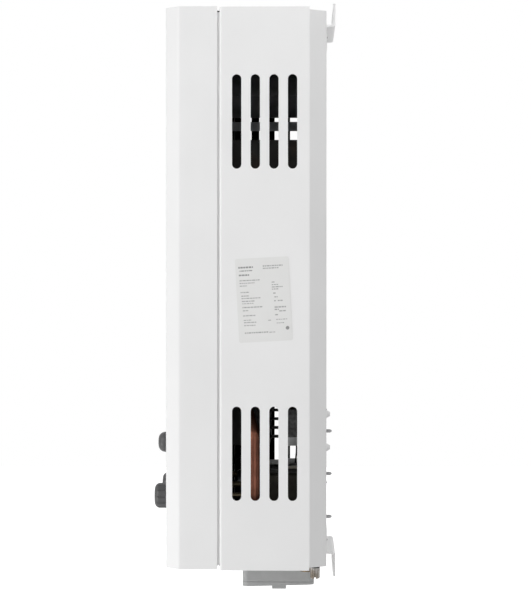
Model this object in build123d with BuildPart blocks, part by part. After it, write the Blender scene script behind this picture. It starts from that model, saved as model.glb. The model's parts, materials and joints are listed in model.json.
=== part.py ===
from build123d import *
import os
from math import radians, tan

# A wall-hung propane instantaneous water heater, in millimetres, +Z up, the front facing -Y.
# The origin is midway between the two upper hanging holes, on the wall plane.
# Heights are given above the casing's lower edge, and depths in front of its back face.

os.makedirs("parts", exist_ok=True)

# ---- driving dimensions ------------------------------------------------------------------

# Casing
casing_width = 340.0
casing_height = 530.0
casing_depth = 152.0
sheet = 1.0
fit = 0.3
wall_gap = 10.5
hanging_hole_rise = 11.0
end_recess = 2.8
end_hem = 3.0
end_lip = 12.0
exhaust_slot = 5.0
exhaust_length = 50.0
exhaust_pitch = 9.0
exhaust_count = 17
rear_depth = 100.7
rear_chamfer_depth = 16.2
rear_chamfer_width = 9.5
rear_bend = 2.0
lip_inset = 1.6
lip_depth = 10.0
joggle_bend = 1.5
seam_gap = 2.1
cover_height = 529.5
cover_lift = 0.9
cover_bevel_depth = 12.8
cover_bevel_width = 10.5
cover_bend = 4.0

# Vent slots in the sides
slot_width = 8.7
slot_length = 88.7
slot_pitch = 17.5
slot_count = 4
slot_middle_depth = 58.25
lower_slot_height = 109.9
upper_slot_height = 422.2

# Hanging brackets
hanger_width = 113.0
hanger_sheet = 2.0
hanger_plate = 24.0
hanger_bend = 2.0
hanger_corner = 6.0
hanging_hole = 6.0
hanging_spacing = 80.0
upper_leg_inset = 1.0
upper_flange_rise = 22.0
lower_leg_inset = -0.5
lower_flange_drop = 25.0
lower_hole_drop = 13.0

# Screws
screw = 3.2
screw_head = 6.4
screw_head_height = 2.4
screw_tip = 5.2
hanger_screw_spacing = 40.0
hanger_screw_drop = 10.6
hanger_screw_tip = 2.8
back_screw_gap = 15.0
back_screw_heights = (47.9, 88.9, 129.5)
cover_screw_spacing = 240.0
cover_screw_length = 7.0
dimple_heights = (113.9, 145.6)
dimple_width = 8.0
dimple_rise = 3.6
hole_fit = 0.1

# Mounting plates inside the back panel
mount_sheet = 1.5
mount_inner_x = 84.0
mount_edge = 9.0
mount_base_height = 40.0
mount_top_height = 138.0

# Label on the right side
label_width = 50.7
label_height = 79.0
label_thickness = 0.25
label_corner = 2.0
label_depth = 58.9
label_middle_height = 254.9
label_tilt = 3.0

# Combustion chamber, heat exchanger and hood
chamber_width = 220.0
chamber_depth = 100.0
chamber_back_depth = 22.0
chamber_corner = 6.0
chamber_base_height = 190.0
chamber_height = 160.0
core_height = 60.0
hood_gap = 43.0
hood_collar = 13.2
hood_top_width = 190.0
hood_top_depth = 62.0
hood_top_middle_depth = 54.0
bracket_sheet = 1.5
bracket_height = 40.0
bracket_foot = 16.0
bracket_x = 80.0
bracket_height_above_base = 110.0
baffle_sheet = 2.0
baffle_height = 9.4
baffle_hood_gap = 15.0
baffle_tab = 12.0
tube_outer = 14.0
tube_wall = 1.0
tube_pitch = 18.0
tube_count = 5
tube_height_in_core = 18.0
tube_bend = 8.8
tube_stub = 15.0
tube_tail = 20.0
bend_share = 0.46
fin_thickness = 0.6
fin_pitch = 5.2
fin_count = 40
fin_edge_gap = 1.2
sight_width = 62.0
sight_height = 16.0

# Burner
burner_frame_height = 37.0
burner_frame_sheet = 1.2
burner_rim = 6.0
burner_bar_width = 13.0
burner_bar_pitch = 24.0
burner_bar_count = 8
burner_bar_end_gap = 0.8
burner_bar_drop = 3.0
port_width = 1.6
port_length = 9.0
port_pitch = 7.5
port_count = 10
port_depth = 6.0
manifold_width = 200.0
manifold_depth = 16.0
manifold_height = 27.0
manifold_middle_depth = 33.0
manifold_block = 14.0
manifold_drop = 6.5
manifold_round = 3.0
injector = 7.0
injector_height = 5.5
injector_gap = 1.0
injector_taper = 8.0
shelf_sheet = 1.5
shelf_cheek = 7.5
electrode_x = 62.0
electrode_pitch = 16.0
electrode_height = 12.0
ceramic = 8.0
ceramic_length = 26.0
ceramic_inside = 8.0
electrode_wire = 2.2
electrode_reach = 16.0
electrode_terminal = 7.0

# Valves
valve_axis_height = 62.0
valve_axis_depth = 30.0
water_valve_x = 105.0
water_valve_width = 50.0
water_valve_height = 50.0
water_valve_round = 4.0
diaphragm_diameter = 50.0
diaphragm_width = 14.0
diaphragm_rim = 4.0
diaphragm_rim_diameter = 54.0
link_outer = 22.0
link_bore = 8.0
link_pad_width = 28.0
link_pad_depth = 12.0
link_pad_height = 3.0
link_pad_x = 52.0
gas_valve_x = -14.0
gas_valve_width = 58.0
gas_valve_depth = 54.0
gas_valve_height = 44.0
gas_valve_round = 4.0
gas_boss = 24.0
gas_boss_length = 10.0
solenoid_x = -29.0
solenoid = 25.0
solenoid_length = 34.0
season_valve_width = 40.0
season_valve_depth = 42.0
season_valve_height = 32.0
season_port_x = -106.0
gas_pipe_outer = 10.0
gas_pipe_wall = 1.0
gas_pipe_depth = 19.0
rod = 5.0
rod_reach = 10.0
rod_pin = 3.0
rod_pin_x = 40.0
rod_pin_rise = 6.0
rod_travel = 4.0
switch_width = 20.0
switch_depth = 10.0
switch_height = 13.0
lever_gap = 1.6
lever_thickness = 1.0
lever_width = 5.0
lever_floor_gap = 1.0
lever_pivot_drop = 2.5
lever_eye = 3.0

# Water pipes
pipe_outer = 12.0
pipe_wall = 1.0
bypass_outer = 8.0
bypass_depth = 50.0
bypass_reach = 8.0
bypass_front_gap = 10.0
bypass_forward_depth = 64.0
bypass_rise = 45.0
outlet_depth = 40.0
outlet_drop = 8.0
port_boss = 4.0
port_wall = 3.0
bypass_port_wall = 2.0
rise_reach = 24.0
rise_depth = 68.0
rise_top_height = 124.0
wrap_step = 16.0
wrap_height = 255.0
wrap_rise = 6.0
pipe_gap = 0.5
nut_hex = 20.0
nut_length = 12.0

# Fittings: G1/2 threads
thread = 20.95
fitting_bore = 14.0
fitting_hex = 26.0
fitting_hex_height = 8.0
fitting_hole_gap = 1.5
cold_inlet_x = 98.0
cold_inlet_depth = 16.5
cold_inlet_drop = 11.5
hot_outlet_drop = 30.0
hot_outlet_depth = 18.5
gas_inlet_x = 0.0
gas_inlet_drop = 34.0
drain_x = 122.0
drain_depth = 10.5
drain_boss = 12.0
drain_boss_drop = 3.0
drain_cap = 9.5
drain_cap_height = 10.4
drain_shank = 6.0
drain_shank_length = 12.0
drain_bore = 6.3
drain_seal_height = 1.7
drain_seal_bore = 6.4
drain_slot = 1.6

# Battery box, for two D cells standing side by side
cell = 33.5
cell_length = 61.5
cell_gap = 0.5
cell_nub = 9.0
cell_nub_height = 1.3
cell_slack = 0.5
box_wall = 1.5
box_x = 47.0
box_middle_depth = 46.75
box_top_height = 38.0
box_corner = 6.0
box_flange = 4.0
box_flange_height = 2.0
box_drop = 28.2
lid_thickness = 2.4
lid_extra_front = 2.0
lid_rim_gap = 0.3
hinge_barrel = 5.0
hinge_pin = 2.0
hinge_hole_fit = 0.1
hinge_length = 44.0
hinge_knuckle = 10.0
hinge_side_gap = 0.4
hinge_offset = 2.9
tab_width = 14.0
tab_depth = 46.1
tab_reach = 7.0
tab_drop = 3.4
tab_round = 1.2

# Knobs and the push button
knob_spacing = 98.0
knob_height = 62.0
knob = 24.5
knob_length = 14.6
knob_gap = 0.8
knob_round = 5.0
knob_grip = 12
knob_grip_width = 2.0
knob_grip_depth = 0.7
knob_bore_depth = 9.0
knob_mark_width = 1.6
knob_mark_depth = 0.5
spindle = 6.0
spindle_flat = 1.5
spindle_hole = 9.0
spindle_fit = 0.05
spindle_socket = 6.0
button_x = 98.0
button_height = 114.7
button = 19.6
button_length = 11.8
button_dome = 6.5
button_travel = 2.5
button_hole_gap = 0.4
button_rim = 23.0
button_rim_height = 1.6
guide_wall = 1.5
guide_length = 20.0
guide_flange = 34.0
guide_flange_height = 2.0
guide_fit = 0.4
spring_wire = 0.9
spring_diameter = 12.0
spring_coils = 5
spring_pocket = 4.0

# Front cover fittings
window_width = 76.0
window_opening_height = 24.0
window_height = 205.0
window_rim = 4.0
window_proud = 1.2
window_glass = 2.0
display_width = 66.0
display_glass_height = 28.0
display_height = 150.0
display_corner = 5.0
display_inner_corner = 3.0
display_rim = 4.0
display_proud = 1.4
display_module_depth = 5.0

# Control box and its leads
control_width = 100.0
control_depth = 44.0
control_box_height = 40.0
control_back_depth = 55.0
control_top_gap = 6.0
control_round = 3.0
control_rib = 2.0
control_rib_length = 14.0
control_rib_reach = 8.0
control_rib_pitch = 8.9
control_rib_count = 4
control_rib_first = 8.4
lug_width = 14.0
lug_depth = 10.0
lead = 2.4
lead_bend = 8.0
lead_slant = 12.0
lead_sag = 6.0
lead_front_depth = 70.0

# ---- places worked out from them ----------------------------------------------------------

back_y = -wall_gap
top_z = -hanging_hole_rise
bottom_z = top_z - casing_height
side_x = casing_width / 2 - sheet / 2
lip_x = side_x - lip_inset
back_screw_x = water_valve_x + water_valve_width / 2 + back_screw_gap
mount_outer_x = back_screw_x + mount_edge


def up(height):
    """The Z of a height above the casing's lower edge."""
    return bottom_z + height


def out(depth):
    """The Y of a depth in front of the casing's back face."""
    return back_y - depth


def mirrored(points):
    """The same points on the left side, in the opposite order."""
    return [(-x, y) for x, y in reversed(points)]


def corner_radii(points, largest):
    """A radius for each corner of a route, as large as its two runs allow, up to largest."""
    radii = []
    for before, corner, after in zip(points, points[1:], points[2:]):
        run_in = Vector(*corner) - Vector(*before)
        run_out = Vector(*after) - Vector(*corner)
        half_turn = radians(run_in.get_angle(run_out) / 2)
        shorter = min(run_in.length, run_out.length)
        radii.append(min(largest, bend_share * shorter / tan(half_turn)))
    return radii


def bent_tube(points, bend, outer, inner):
    """A round tube, or a rod where inner is 0, along straight runs joined by arcs."""
    with BuildPart() as tube:
        with BuildLine() as route:
            FilletPolyline(*points, radius=corner_radii(points, bend))
        with BuildSketch(Plane(origin=route.line @ 0, z_dir=route.line % 0)):
            Circle(outer / 2)
            if inner > 0:
                Circle(inner / 2, mode=Mode.SUBTRACT)
        sweep()
    return tube


inner_face_depth = casing_depth - sheet
front_y = out(casing_depth)
cover_base = up(cover_lift)
chamber_middle = out(chamber_back_depth + chamber_depth / 2)
chamber_front_depth = chamber_back_depth + chamber_depth
core_base_height = chamber_base_height + chamber_height
core_top_height = core_base_height + core_height
hood_base_height = core_top_height + hood_gap
end_top_height = casing_height - end_recess - sheet
taper_top_height = end_top_height - hood_collar
valve_z = up(valve_axis_height)
valve_y = out(valve_axis_depth)
season_x = -knob_spacing
# The hot outlet is midway between the season valve and the casing's side.
hot_outlet_x = (season_x - season_valve_width / 2 - casing_width / 2) / 2
mount_face_depth = sheet + mount_sheet
lip_end = cover_lift + end_recess + sheet + fit
plate_half = lip_x - sheet / 2 - fit
cover_wall_top_z = cover_base + cover_height - end_recess - sheet
cover_wall_low_z = cover_base + end_recess + sheet

# ---- rear casing ----------------------------------------------------------------------------

rear_outline = [
    (lip_x, out(rear_depth + lip_depth)),
    (lip_x, out(rear_depth)),
    (side_x, out(rear_depth - lip_inset)),
    (side_x, out(rear_chamfer_depth)),
    (side_x - rear_chamfer_width, back_y - sheet / 2),
]
rear_bends = [joggle_bend, joggle_bend, rear_bend, rear_bend]

with BuildPart() as rear_casing:
    with BuildSketch(Plane.XY.offset(bottom_z)):
        with BuildLine():
            FilletPolyline(*rear_outline, *mirrored(rear_outline), radius=rear_bends + rear_bends[::-1])
        trace(line_width=sheet)
    extrude(amount=casing_height)
    # The back panel and its chamfers stand a little short of the sides.
    for edge_z in (bottom_z + end_recess / 2, top_z - end_recess / 2):
        with Locations((0, out(rear_chamfer_depth / 2), edge_z)):
            Box(casing_width, rear_chamfer_depth, end_recess, mode=Mode.SUBTRACT)
    # The lips stop short of the cover's end walls.
    for edge_z in (bottom_z + lip_end / 2, top_z - lip_end / 2):
        with Locations((0, out(rear_depth + lip_depth / 2), edge_z)):
            Box(casing_width, lip_depth, lip_end, mode=Mode.SUBTRACT)
    for row_height in (lower_slot_height, upper_slot_height):
        with BuildSketch(Plane.YZ):
            with Locations((out(slot_middle_depth), up(row_height))):
                with GridLocations(slot_pitch, 0, slot_count, 1):
                    SlotOverall(slot_length, slot_width, rotation=90)
        extrude(amount=casing_width, both=True, mode=Mode.SUBTRACT)
    # Pressed dimples beside the back screws.
    for x in (-back_screw_x, back_screw_x):
        for height in dimple_heights:
            with Locations(Location((x, back_y, up(height)), (-90, 0, 0))):
                Cone(
                    dimple_width / 2,
                    dimple_width / 4,
                    dimple_rise,
                    align=(Align.CENTER, Align.CENTER, Align.MIN),
                )
            with Locations(Location((x, back_y - sheet, up(height)), (-90, 0, 0))):
                Cone(
                    dimple_width / 2,
                    dimple_width / 4,
                    dimple_rise,
                    align=(Align.CENTER, Align.CENTER, Align.MIN),
                    mode=Mode.SUBTRACT,
                )
    with BuildSketch(Plane.XZ.offset(-back_y)):
        with Locations((0, top_z - hanger_screw_drop), (0, bottom_z + hanger_screw_drop)):
            with GridLocations(hanger_screw_spacing, 0, 3, 1):
                Circle(screw / 2 + hole_fit)
        for height in back_screw_heights:
            with Locations((back_screw_x, up(height)), (-back_screw_x, up(height))):
                Circle(screw / 2 + hole_fit)
    extrude(amount=rear_chamfer_depth / 2, both=True, mode=Mode.SUBTRACT)
rear_casing.part.label = "rear_casing"
export_step(rear_casing.part, "parts/rear_casing.step")

# ---- end plates -----------------------------------------------------------------------------


def end_plate(edge_z, side, wall_z):
    """A folded end plate just inside the top edge (side 1) or the lower edge (side -1)."""
    middle_z = edge_z - side * (end_recess + sheet / 2)
    lip_z = wall_z - side * (sheet / 2 + hole_fit)
    back = out(sheet + fit + sheet / 2)
    profile = [
        (back, middle_z - side * end_hem),
        (back, middle_z),
        (out(rear_depth - lip_inset), middle_z),
        (out(rear_depth + seam_gap / 2), lip_z),
        (out(rear_depth + seam_gap + end_lip), lip_z),
    ]
    with BuildPart() as plate:
        with BuildSketch(Plane.YZ.offset(-plate_half)):
            with BuildLine():
                Polyline(*profile)
            trace(line_width=sheet)
        extrude(amount=2 * plate_half)
        # The rear corners follow the casing's chamfers.
        with BuildSketch(Plane.XY.offset(edge_z)):
            for hand in (-1, 1):
                with BuildLine():
                    Polyline(
                        (hand * (side_x + sheet), out(rear_chamfer_depth + fit)),
                        (hand * plate_half, out(rear_chamfer_depth + fit)),
                        (hand * (side_x - rear_chamfer_width - sheet - fit), back_y),
                        (hand * (side_x + sheet), back_y),
                        close=True,
                    )
                make_face()
        extrude(amount=-side * 2 * end_lip, mode=Mode.SUBTRACT)
        with BuildSketch(Plane.XY.offset(edge_z)):
            with Locations((0, out(rear_depth + seam_gap + end_lip / 2))):
                with GridLocations(cover_screw_spacing, 0, 2, 1):
                    Circle(screw / 2 + hole_fit)
        extrude(amount=-side * 2 * end_lip, mode=Mode.SUBTRACT)
    return plate


top_blank = end_plate(top_z, 1, cover_wall_top_z)
with BuildPart() as top_plate:
    add(top_blank.part)
    with BuildSketch(Plane.XY.offset(top_z)):
        with Locations((0, out(hood_top_middle_depth))):
            with GridLocations(exhaust_pitch, 0, exhaust_count, 1):
                SlotOverall(exhaust_length, exhaust_slot, rotation=90)
    extrude(amount=-end_lip, mode=Mode.SUBTRACT)
top_plate.part.label = "top_plate"
export_step(top_plate.part, "parts/top_plate.step")

box_outer_x = cell + 2 * cell_slack + 2 * box_wall
box_outer_y = 2 * cell + cell_gap + 2 * cell_slack + 2 * box_wall
box_y = out(box_middle_depth)

bottom_blank = end_plate(bottom_z, -1, cover_wall_low_z)
with BuildPart() as bottom_plate:
    add(bottom_blank.part)
    with BuildSketch(Plane.XY.offset(bottom_z)):
        with Locations((box_x, box_y)):
            RectangleRounded(box_outer_x + 2 * fit, box_outer_y + 2 * fit, box_corner + fit)
        with Locations(
            (cold_inlet_x, out(cold_inlet_depth)),
            (hot_outlet_x, out(hot_outlet_depth)),
            (gas_inlet_x, valve_y),
        ):
            Circle(thread / 2 + fitting_hole_gap)
        with Locations((drain_x, out(drain_depth))):
            Circle(drain_boss / 2 + fit)
    extrude(amount=end_lip, mode=Mode.SUBTRACT)
bottom_plate.part.label = "bottom_plate"
export_step(bottom_plate.part, "parts/bottom_plate.step")

# ---- hanging brackets ------------------------------------------------------------------------


def hanger(edge_z, side, leg_inset, flange_rise, hole_z, screw_z):
    """A bent bracket at the top edge (side 1) or the lower edge (side -1)."""
    leg_z = edge_z - side * leg_inset
    profile = [
        (back_y + hanger_sheet / 2, edge_z - side * hanger_plate),
        (back_y + hanger_sheet / 2, leg_z),
        (-hanger_sheet / 2, leg_z),
        (-hanger_sheet / 2, edge_z + side * flange_rise),
    ]
    with BuildPart() as bracket:
        with BuildSketch(Plane.YZ.offset(-hanger_width / 2)):
            with BuildLine():
                FilletPolyline(*profile, radius=hanger_bend)
            trace(line_width=hanger_sheet)
        extrude(amount=hanger_width)
        fillet(bracket.edges().filter_by(Axis.Y).group_by(Axis.Z)[-1 if side > 0 else 0], hanger_corner)
        with BuildSketch(Plane.XZ):
            with Locations((0, hole_z)):
                with GridLocations(hanging_spacing, 0, 2, 1):
                    Circle(hanging_hole / 2)
            with Locations((0, screw_z)):
                with GridLocations(hanger_screw_spacing, 0, 3, 1):
                    Circle(screw / 2 + hole_fit)
        extrude(amount=wall_gap, mode=Mode.SUBTRACT)
    return bracket


upper_hanger = hanger(top_z, 1, upper_leg_inset, upper_flange_rise, 0, top_z - hanger_screw_drop)
upper_hanger.part.label = "upper_hanger"
export_step(upper_hanger.part, "parts/upper_hanger.step")

lower_hole_z = bottom_z - lower_hole_drop
lower_screw_z = bottom_z + hanger_screw_drop
lower_hanger = hanger(bottom_z, -1, lower_leg_inset, lower_flange_drop, lower_hole_z, lower_screw_z)
lower_hanger.part.label = "lower_hanger"
export_step(lower_hanger.part, "parts/lower_hanger.step")

# ---- front cover -----------------------------------------------------------------------------

cover_outline = [
    (side_x, out(rear_depth + seam_gap)),
    (side_x, out(casing_depth - cover_bevel_depth)),
    (side_x - cover_bevel_width, front_y + sheet / 2),
]

with BuildPart() as front_cover:
    with BuildSketch(Plane.XY.offset(cover_base)):
        with BuildLine():
            FilletPolyline(*cover_outline, *mirrored(cover_outline), radius=cover_bend)
        trace(line_width=sheet)
    extrude(amount=cover_height)
    # End walls, set in a little from the cover's edges.
    for wall_z in (cover_base + end_recess, cover_base + cover_height - end_recess - sheet):
        with BuildSketch(Plane.XY.offset(wall_z)):
            with BuildLine():
                FilletPolyline(*cover_outline, *mirrored(cover_outline), radius=cover_bend)
                Line(mirrored(cover_outline)[-1], cover_outline[0])
            make_face()
            with Locations((0, out(rear_depth + seam_gap + end_lip / 2))):
                with GridLocations(cover_screw_spacing, 0, 2, 1):
                    Circle(screw / 2 + hole_fit, mode=Mode.SUBTRACT)
        extrude(amount=sheet)
    with BuildSketch(Plane.XZ.offset(-front_y)):
        with Locations((0, up(window_height))):
            SlotOverall(window_width - 2 * window_rim, window_opening_height)
        with Locations((0, up(display_height))):
            RectangleRounded(display_width - 2 * display_rim, display_glass_height, display_inner_corner)
        with Locations((0, up(knob_height))):
            with GridLocations(knob_spacing, 0, 3, 1):
                Circle(spindle_hole / 2)
        with Locations((button_x, up(button_height))):
            Circle(button / 2 + button_hole_gap)
    extrude(amount=-cover_bevel_depth, mode=Mode.SUBTRACT)
front_cover.part.label = "front_cover"
export_step(front_cover.part, "parts/front_cover.step")

# ---- screws ----------------------------------------------------------------------------------


def cross_screw(length, pointed):
    """A pan-head cross screw along +Z, its head's underside at the origin."""
    with BuildPart() as one:
        with BuildSketch():
            Circle(screw_head / 2)
        extrude(amount=-screw_head_height)
        fillet(one.edges().sort_by(Axis.Z)[0], screw_head_height / 2)
        with BuildSketch():
            Circle(screw / 2)
        extrude(amount=length)
        if pointed:
            chamfer(one.edges().sort_by(Axis.Z)[-1], screw / 2, screw / 4)
        with BuildSketch(Plane.XY.offset(-screw_head_height)):
            Rectangle(screw_head / 2, screw / 4)
            Rectangle(screw / 4, screw_head / 2)
        extrude(amount=screw_head_height / 2, mode=Mode.SUBTRACT)
    return one


cover_screw = cross_screw(cover_screw_length, False)
back_screw = cross_screw(mount_face_depth + screw_tip, True)
hanger_screw = cross_screw(sheet + hanger_screw_tip, True)
with BuildPart() as screws:
    for x in (-cover_screw_spacing / 2, cover_screw_spacing / 2):
        screw_y = out(rear_depth + seam_gap + end_lip / 2)
        lower = Location((x, screw_y, cover_base + end_recess), (0, 0, 0))
        upper = Location((x, screw_y, cover_base + cover_height - end_recess), (180, 0, 0))
        with Locations(lower, upper):
            add(cover_screw.part)
    for x in (-back_screw_x, back_screw_x):
        for height in back_screw_heights:
            with Locations(Location((x, out(mount_face_depth), up(height)), (-90, 0, 0))):
                add(back_screw.part)
    for x in (-hanger_screw_spacing, 0, hanger_screw_spacing):
        for z in (top_z - hanger_screw_drop, bottom_z + hanger_screw_drop):
            with Locations(Location((x, out(sheet), z), (-90, 0, 0))):
                add(hanger_screw.part)
screws.part.label = "screws"
export_step(screws.part, "parts/screws.step")

with BuildPart() as mount_plates:
    with BuildSketch(Plane.XZ.offset(-out(sheet))):
        for hand in (-1, 1):
            middle_x = hand * (mount_inner_x + mount_outer_x) / 2
            middle_z = up((mount_base_height + mount_top_height) / 2)
            with Locations((middle_x, middle_z)):
                Rectangle(mount_outer_x - mount_inner_x, mount_top_height - mount_base_height)
            for height in back_screw_heights:
                with Locations((hand * back_screw_x, up(height))):
                    Circle(screw / 2 + hole_fit, mode=Mode.SUBTRACT)
            for height in dimple_heights:
                with Locations((hand * back_screw_x, up(height))):
                    Circle(dimple_width / 2 + fit, mode=Mode.SUBTRACT)
    extrude(amount=mount_sheet)
mount_plates.part.label = "mount_plates"
export_step(mount_plates.part, "parts/mount_plates.step")

# ---- label -----------------------------------------------------------------------------------

label_plane = Plane(
    origin=(casing_width / 2, out(label_depth), up(label_middle_height)), x_dir=(0, 1, 0), z_dir=(1, 0, 0)
)
with BuildPart() as rating_label:
    with BuildSketch(label_plane):
        RectangleRounded(label_width, label_height, label_corner, rotation=label_tilt)
    extrude(amount=label_thickness)
rating_label.part.label = "rating_label"
export_step(rating_label.part, "parts/rating_label.step")

# ---- flue hood -------------------------------------------------------------------------------

with BuildPart() as flue_hood:
    for inset in (0, sheet):
        with BuildSketch(Plane.XY.offset(up(hood_base_height))):
            with Locations((0, chamber_middle)):
                RectangleRounded(
                    chamber_width - 2 * inset,
                    chamber_depth - 2 * inset,
                    chamber_corner - inset,
                )
        with BuildSketch(Plane.XY.offset(up(taper_top_height))):
            with Locations((0, out(hood_top_middle_depth))):
                RectangleRounded(
                    hood_top_width - 2 * inset,
                    hood_top_depth - 2 * inset,
                    chamber_corner - inset,
                )
        loft(mode=Mode.ADD if inset == 0 else Mode.SUBTRACT)
    with BuildSketch(Plane.XY.offset(up(taper_top_height))):
        with Locations((0, out(hood_top_middle_depth))):
            RectangleRounded(hood_top_width, hood_top_depth, chamber_corner)
            RectangleRounded(
                hood_top_width - 2 * sheet,
                hood_top_depth - 2 * sheet,
                chamber_corner - sheet,
                mode=Mode.SUBTRACT,
            )
    extrude(amount=end_top_height - taper_top_height)
flue_hood.part.label = "flue_hood"
export_step(flue_hood.part, "parts/flue_hood.step")

baffle_base_height = hood_base_height - baffle_hood_gap - baffle_height
with BuildPart() as draught_baffle:
    inner_reach = chamber_depth - 2 * sheet
    with Locations((0, chamber_middle, up(baffle_base_height + baffle_height / 2))):
        Box(baffle_sheet, inner_reach, baffle_height)
    # Two straps carry the strip from the hood's front and back walls.
    for hand in (-1, 1):
        strap_y = chamber_middle + hand * (inner_reach - baffle_sheet) / 2
        strap_height = baffle_height + baffle_hood_gap + baffle_tab
        with Locations((0, strap_y, up(baffle_base_height))):
            Box(baffle_tab, baffle_sheet, strap_height, align=(Align.CENTER, Align.CENTER, Align.MIN))
    with BuildSketch(Plane.YZ):
        with BuildLine():
            Polyline(
                (out(chamber_back_depth + sheet), up(hood_base_height)),
                (out(chamber_front_depth - sheet), up(hood_base_height)),
                (out(hood_top_middle_depth + hood_top_depth / 2 - sheet), up(taper_top_height)),
                (out(hood_top_middle_depth - hood_top_depth / 2 + sheet), up(taper_top_height)),
                close=True,
            )
        make_face()
        with Locations((chamber_middle, up(hood_base_height))):
            Rectangle(chamber_depth, 2 * hood_gap, align=(Align.CENTER, Align.MAX))
    extrude(amount=baffle_tab, both=True, mode=Mode.INTERSECT)
draught_baffle.part.label = "draught_baffle"
export_step(draught_baffle.part, "parts/draught_baffle.step")

# ---- heat exchanger and combustion chamber -----------------------------------------------------

tube_z = up(core_base_height + tube_height_in_core)
tube_first = chamber_middle - (tube_count - 1) * tube_pitch / 2
tube_rows = [tube_first + row * tube_pitch for row in range(tube_count)]

with BuildPart() as exchanger_shell:
    with BuildSketch(Plane.XY.offset(up(core_base_height))):
        with Locations((0, chamber_middle)):
            RectangleRounded(chamber_width, chamber_depth, chamber_corner)
            offset(amount=-sheet, mode=Mode.SUBTRACT)
    extrude(amount=core_height)
    with BuildSketch(Plane.YZ):
        for row_y in tube_rows:
            with Locations((row_y, tube_z)):
                Circle(tube_outer / 2 + hole_fit)
    extrude(amount=chamber_width, both=True, mode=Mode.SUBTRACT)
exchanger_shell.part.label = "exchanger_shell"
export_step(exchanger_shell.part, "parts/exchanger_shell.step")

with BuildPart() as exchanger_fins:
    with BuildSketch(Plane.YZ):
        with Locations((chamber_middle, up(core_base_height + core_height / 2))):
            Rectangle(chamber_depth - 2 * sheet - 2 * fin_edge_gap, core_height - 2 * fin_edge_gap)
        for row_y in tube_rows:
            with Locations((row_y, tube_z)):
                Circle(tube_outer / 2 + hole_fit, mode=Mode.SUBTRACT)
    one_fin = extrude(amount=fin_thickness, mode=Mode.PRIVATE)
    with GridLocations(fin_pitch, 0, fin_count, 1):
        add(one_fin)
exchanger_fins.part.label = "exchanger_fins"
export_step(exchanger_fins.part, "parts/exchanger_fins.step")

bend_x = chamber_width / 2 + tube_stub
tube_inlet_x = bend_x + tube_tail - tube_stub
serpentine = [(tube_inlet_x, tube_rows[0], tube_z)]
for row in range(tube_count - 1):
    turn_x = -bend_x if row % 2 == 0 else bend_x
    serpentine += [(turn_x, tube_rows[row], tube_z), (turn_x, tube_rows[row + 1], tube_z)]
serpentine += [(-tube_inlet_x, tube_rows[-1], tube_z)]

exchanger_tube = bent_tube(serpentine, tube_bend, tube_outer, tube_outer - 2 * tube_wall)
exchanger_tube.part.label = "exchanger_tube"
export_step(exchanger_tube.part, "parts/exchanger_tube.step")

electrode_z = up(chamber_base_height + electrode_height)
electrode_places = [(electrode_x + hand * electrode_pitch / 2, electrode_z) for hand in (-1, 1)]

with BuildPart() as combustion_chamber:
    with BuildSketch(Plane.XY.offset(up(chamber_base_height))):
        with Locations((0, chamber_middle)):
            RectangleRounded(chamber_width, chamber_depth, chamber_corner)
            offset(amount=-sheet, mode=Mode.SUBTRACT)
    extrude(amount=chamber_height)
    with BuildSketch(Plane.XZ.offset(-chamber_middle)):
        with Locations((0, up(window_height))):
            SlotOverall(sight_width, sight_height)
        with Locations(*electrode_places):
            Circle(ceramic / 2 + hole_fit)
    extrude(amount=chamber_depth, mode=Mode.SUBTRACT)
combustion_chamber.part.label = "combustion_chamber"
export_step(combustion_chamber.part, "parts/combustion_chamber.step")

with BuildPart() as chamber_brackets:
    bracket_z = up(chamber_base_height + bracket_height_above_base)
    for hand in (-1, 1):
        arm_x = hand * bracket_x
        back = out(sheet + bracket_sheet / 2)
        front = out(chamber_back_depth - bracket_sheet / 2)
        with BuildSketch(Plane.XY.offset(bracket_z)):
            with BuildLine():
                Polyline(
                    (arm_x - hand * bracket_foot, back),
                    (arm_x, back),
                    (arm_x, front),
                    (arm_x + hand * bracket_foot, front),
                )
            trace(line_width=bracket_sheet)
        extrude(amount=bracket_height)
chamber_brackets.part.label = "chamber_brackets"
export_step(chamber_brackets.part, "parts/chamber_brackets.step")

# ---- burner ------------------------------------------------------------------------------------

burner_base_height = chamber_base_height - burner_frame_height
with BuildPart() as burner_frame:
    with BuildSketch(Plane.XY.offset(up(burner_base_height))):
        with Locations((0, chamber_middle)):
            RectangleRounded(chamber_width, chamber_depth, chamber_corner)
            offset(amount=-burner_frame_sheet, mode=Mode.SUBTRACT)
    extrude(amount=burner_frame_height)
    # An inward rim carries the ends of the burner bars.
    with BuildSketch(Plane.XY.offset(up(burner_base_height))):
        with Locations((0, chamber_middle)):
            RectangleRounded(
                chamber_width - burner_frame_sheet,
                chamber_depth - burner_frame_sheet,
                chamber_corner,
            )
            Rectangle(
                chamber_width - 2 * burner_frame_sheet - 2 * burner_rim,
                chamber_depth - 2 * burner_frame_sheet - 2 * burner_rim,
                mode=Mode.SUBTRACT,
            )
    extrude(amount=burner_frame_sheet)
burner_frame.part.label = "burner_frame"
export_step(burner_frame.part, "parts/burner_frame.step")

bar_base_height = burner_base_height + burner_frame_sheet
bar_height = burner_frame_height - burner_frame_sheet - burner_bar_drop
bar_length = chamber_depth - 2 * burner_frame_sheet - 2 * burner_bar_end_gap
inlet_y = out(manifold_middle_depth)

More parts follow.
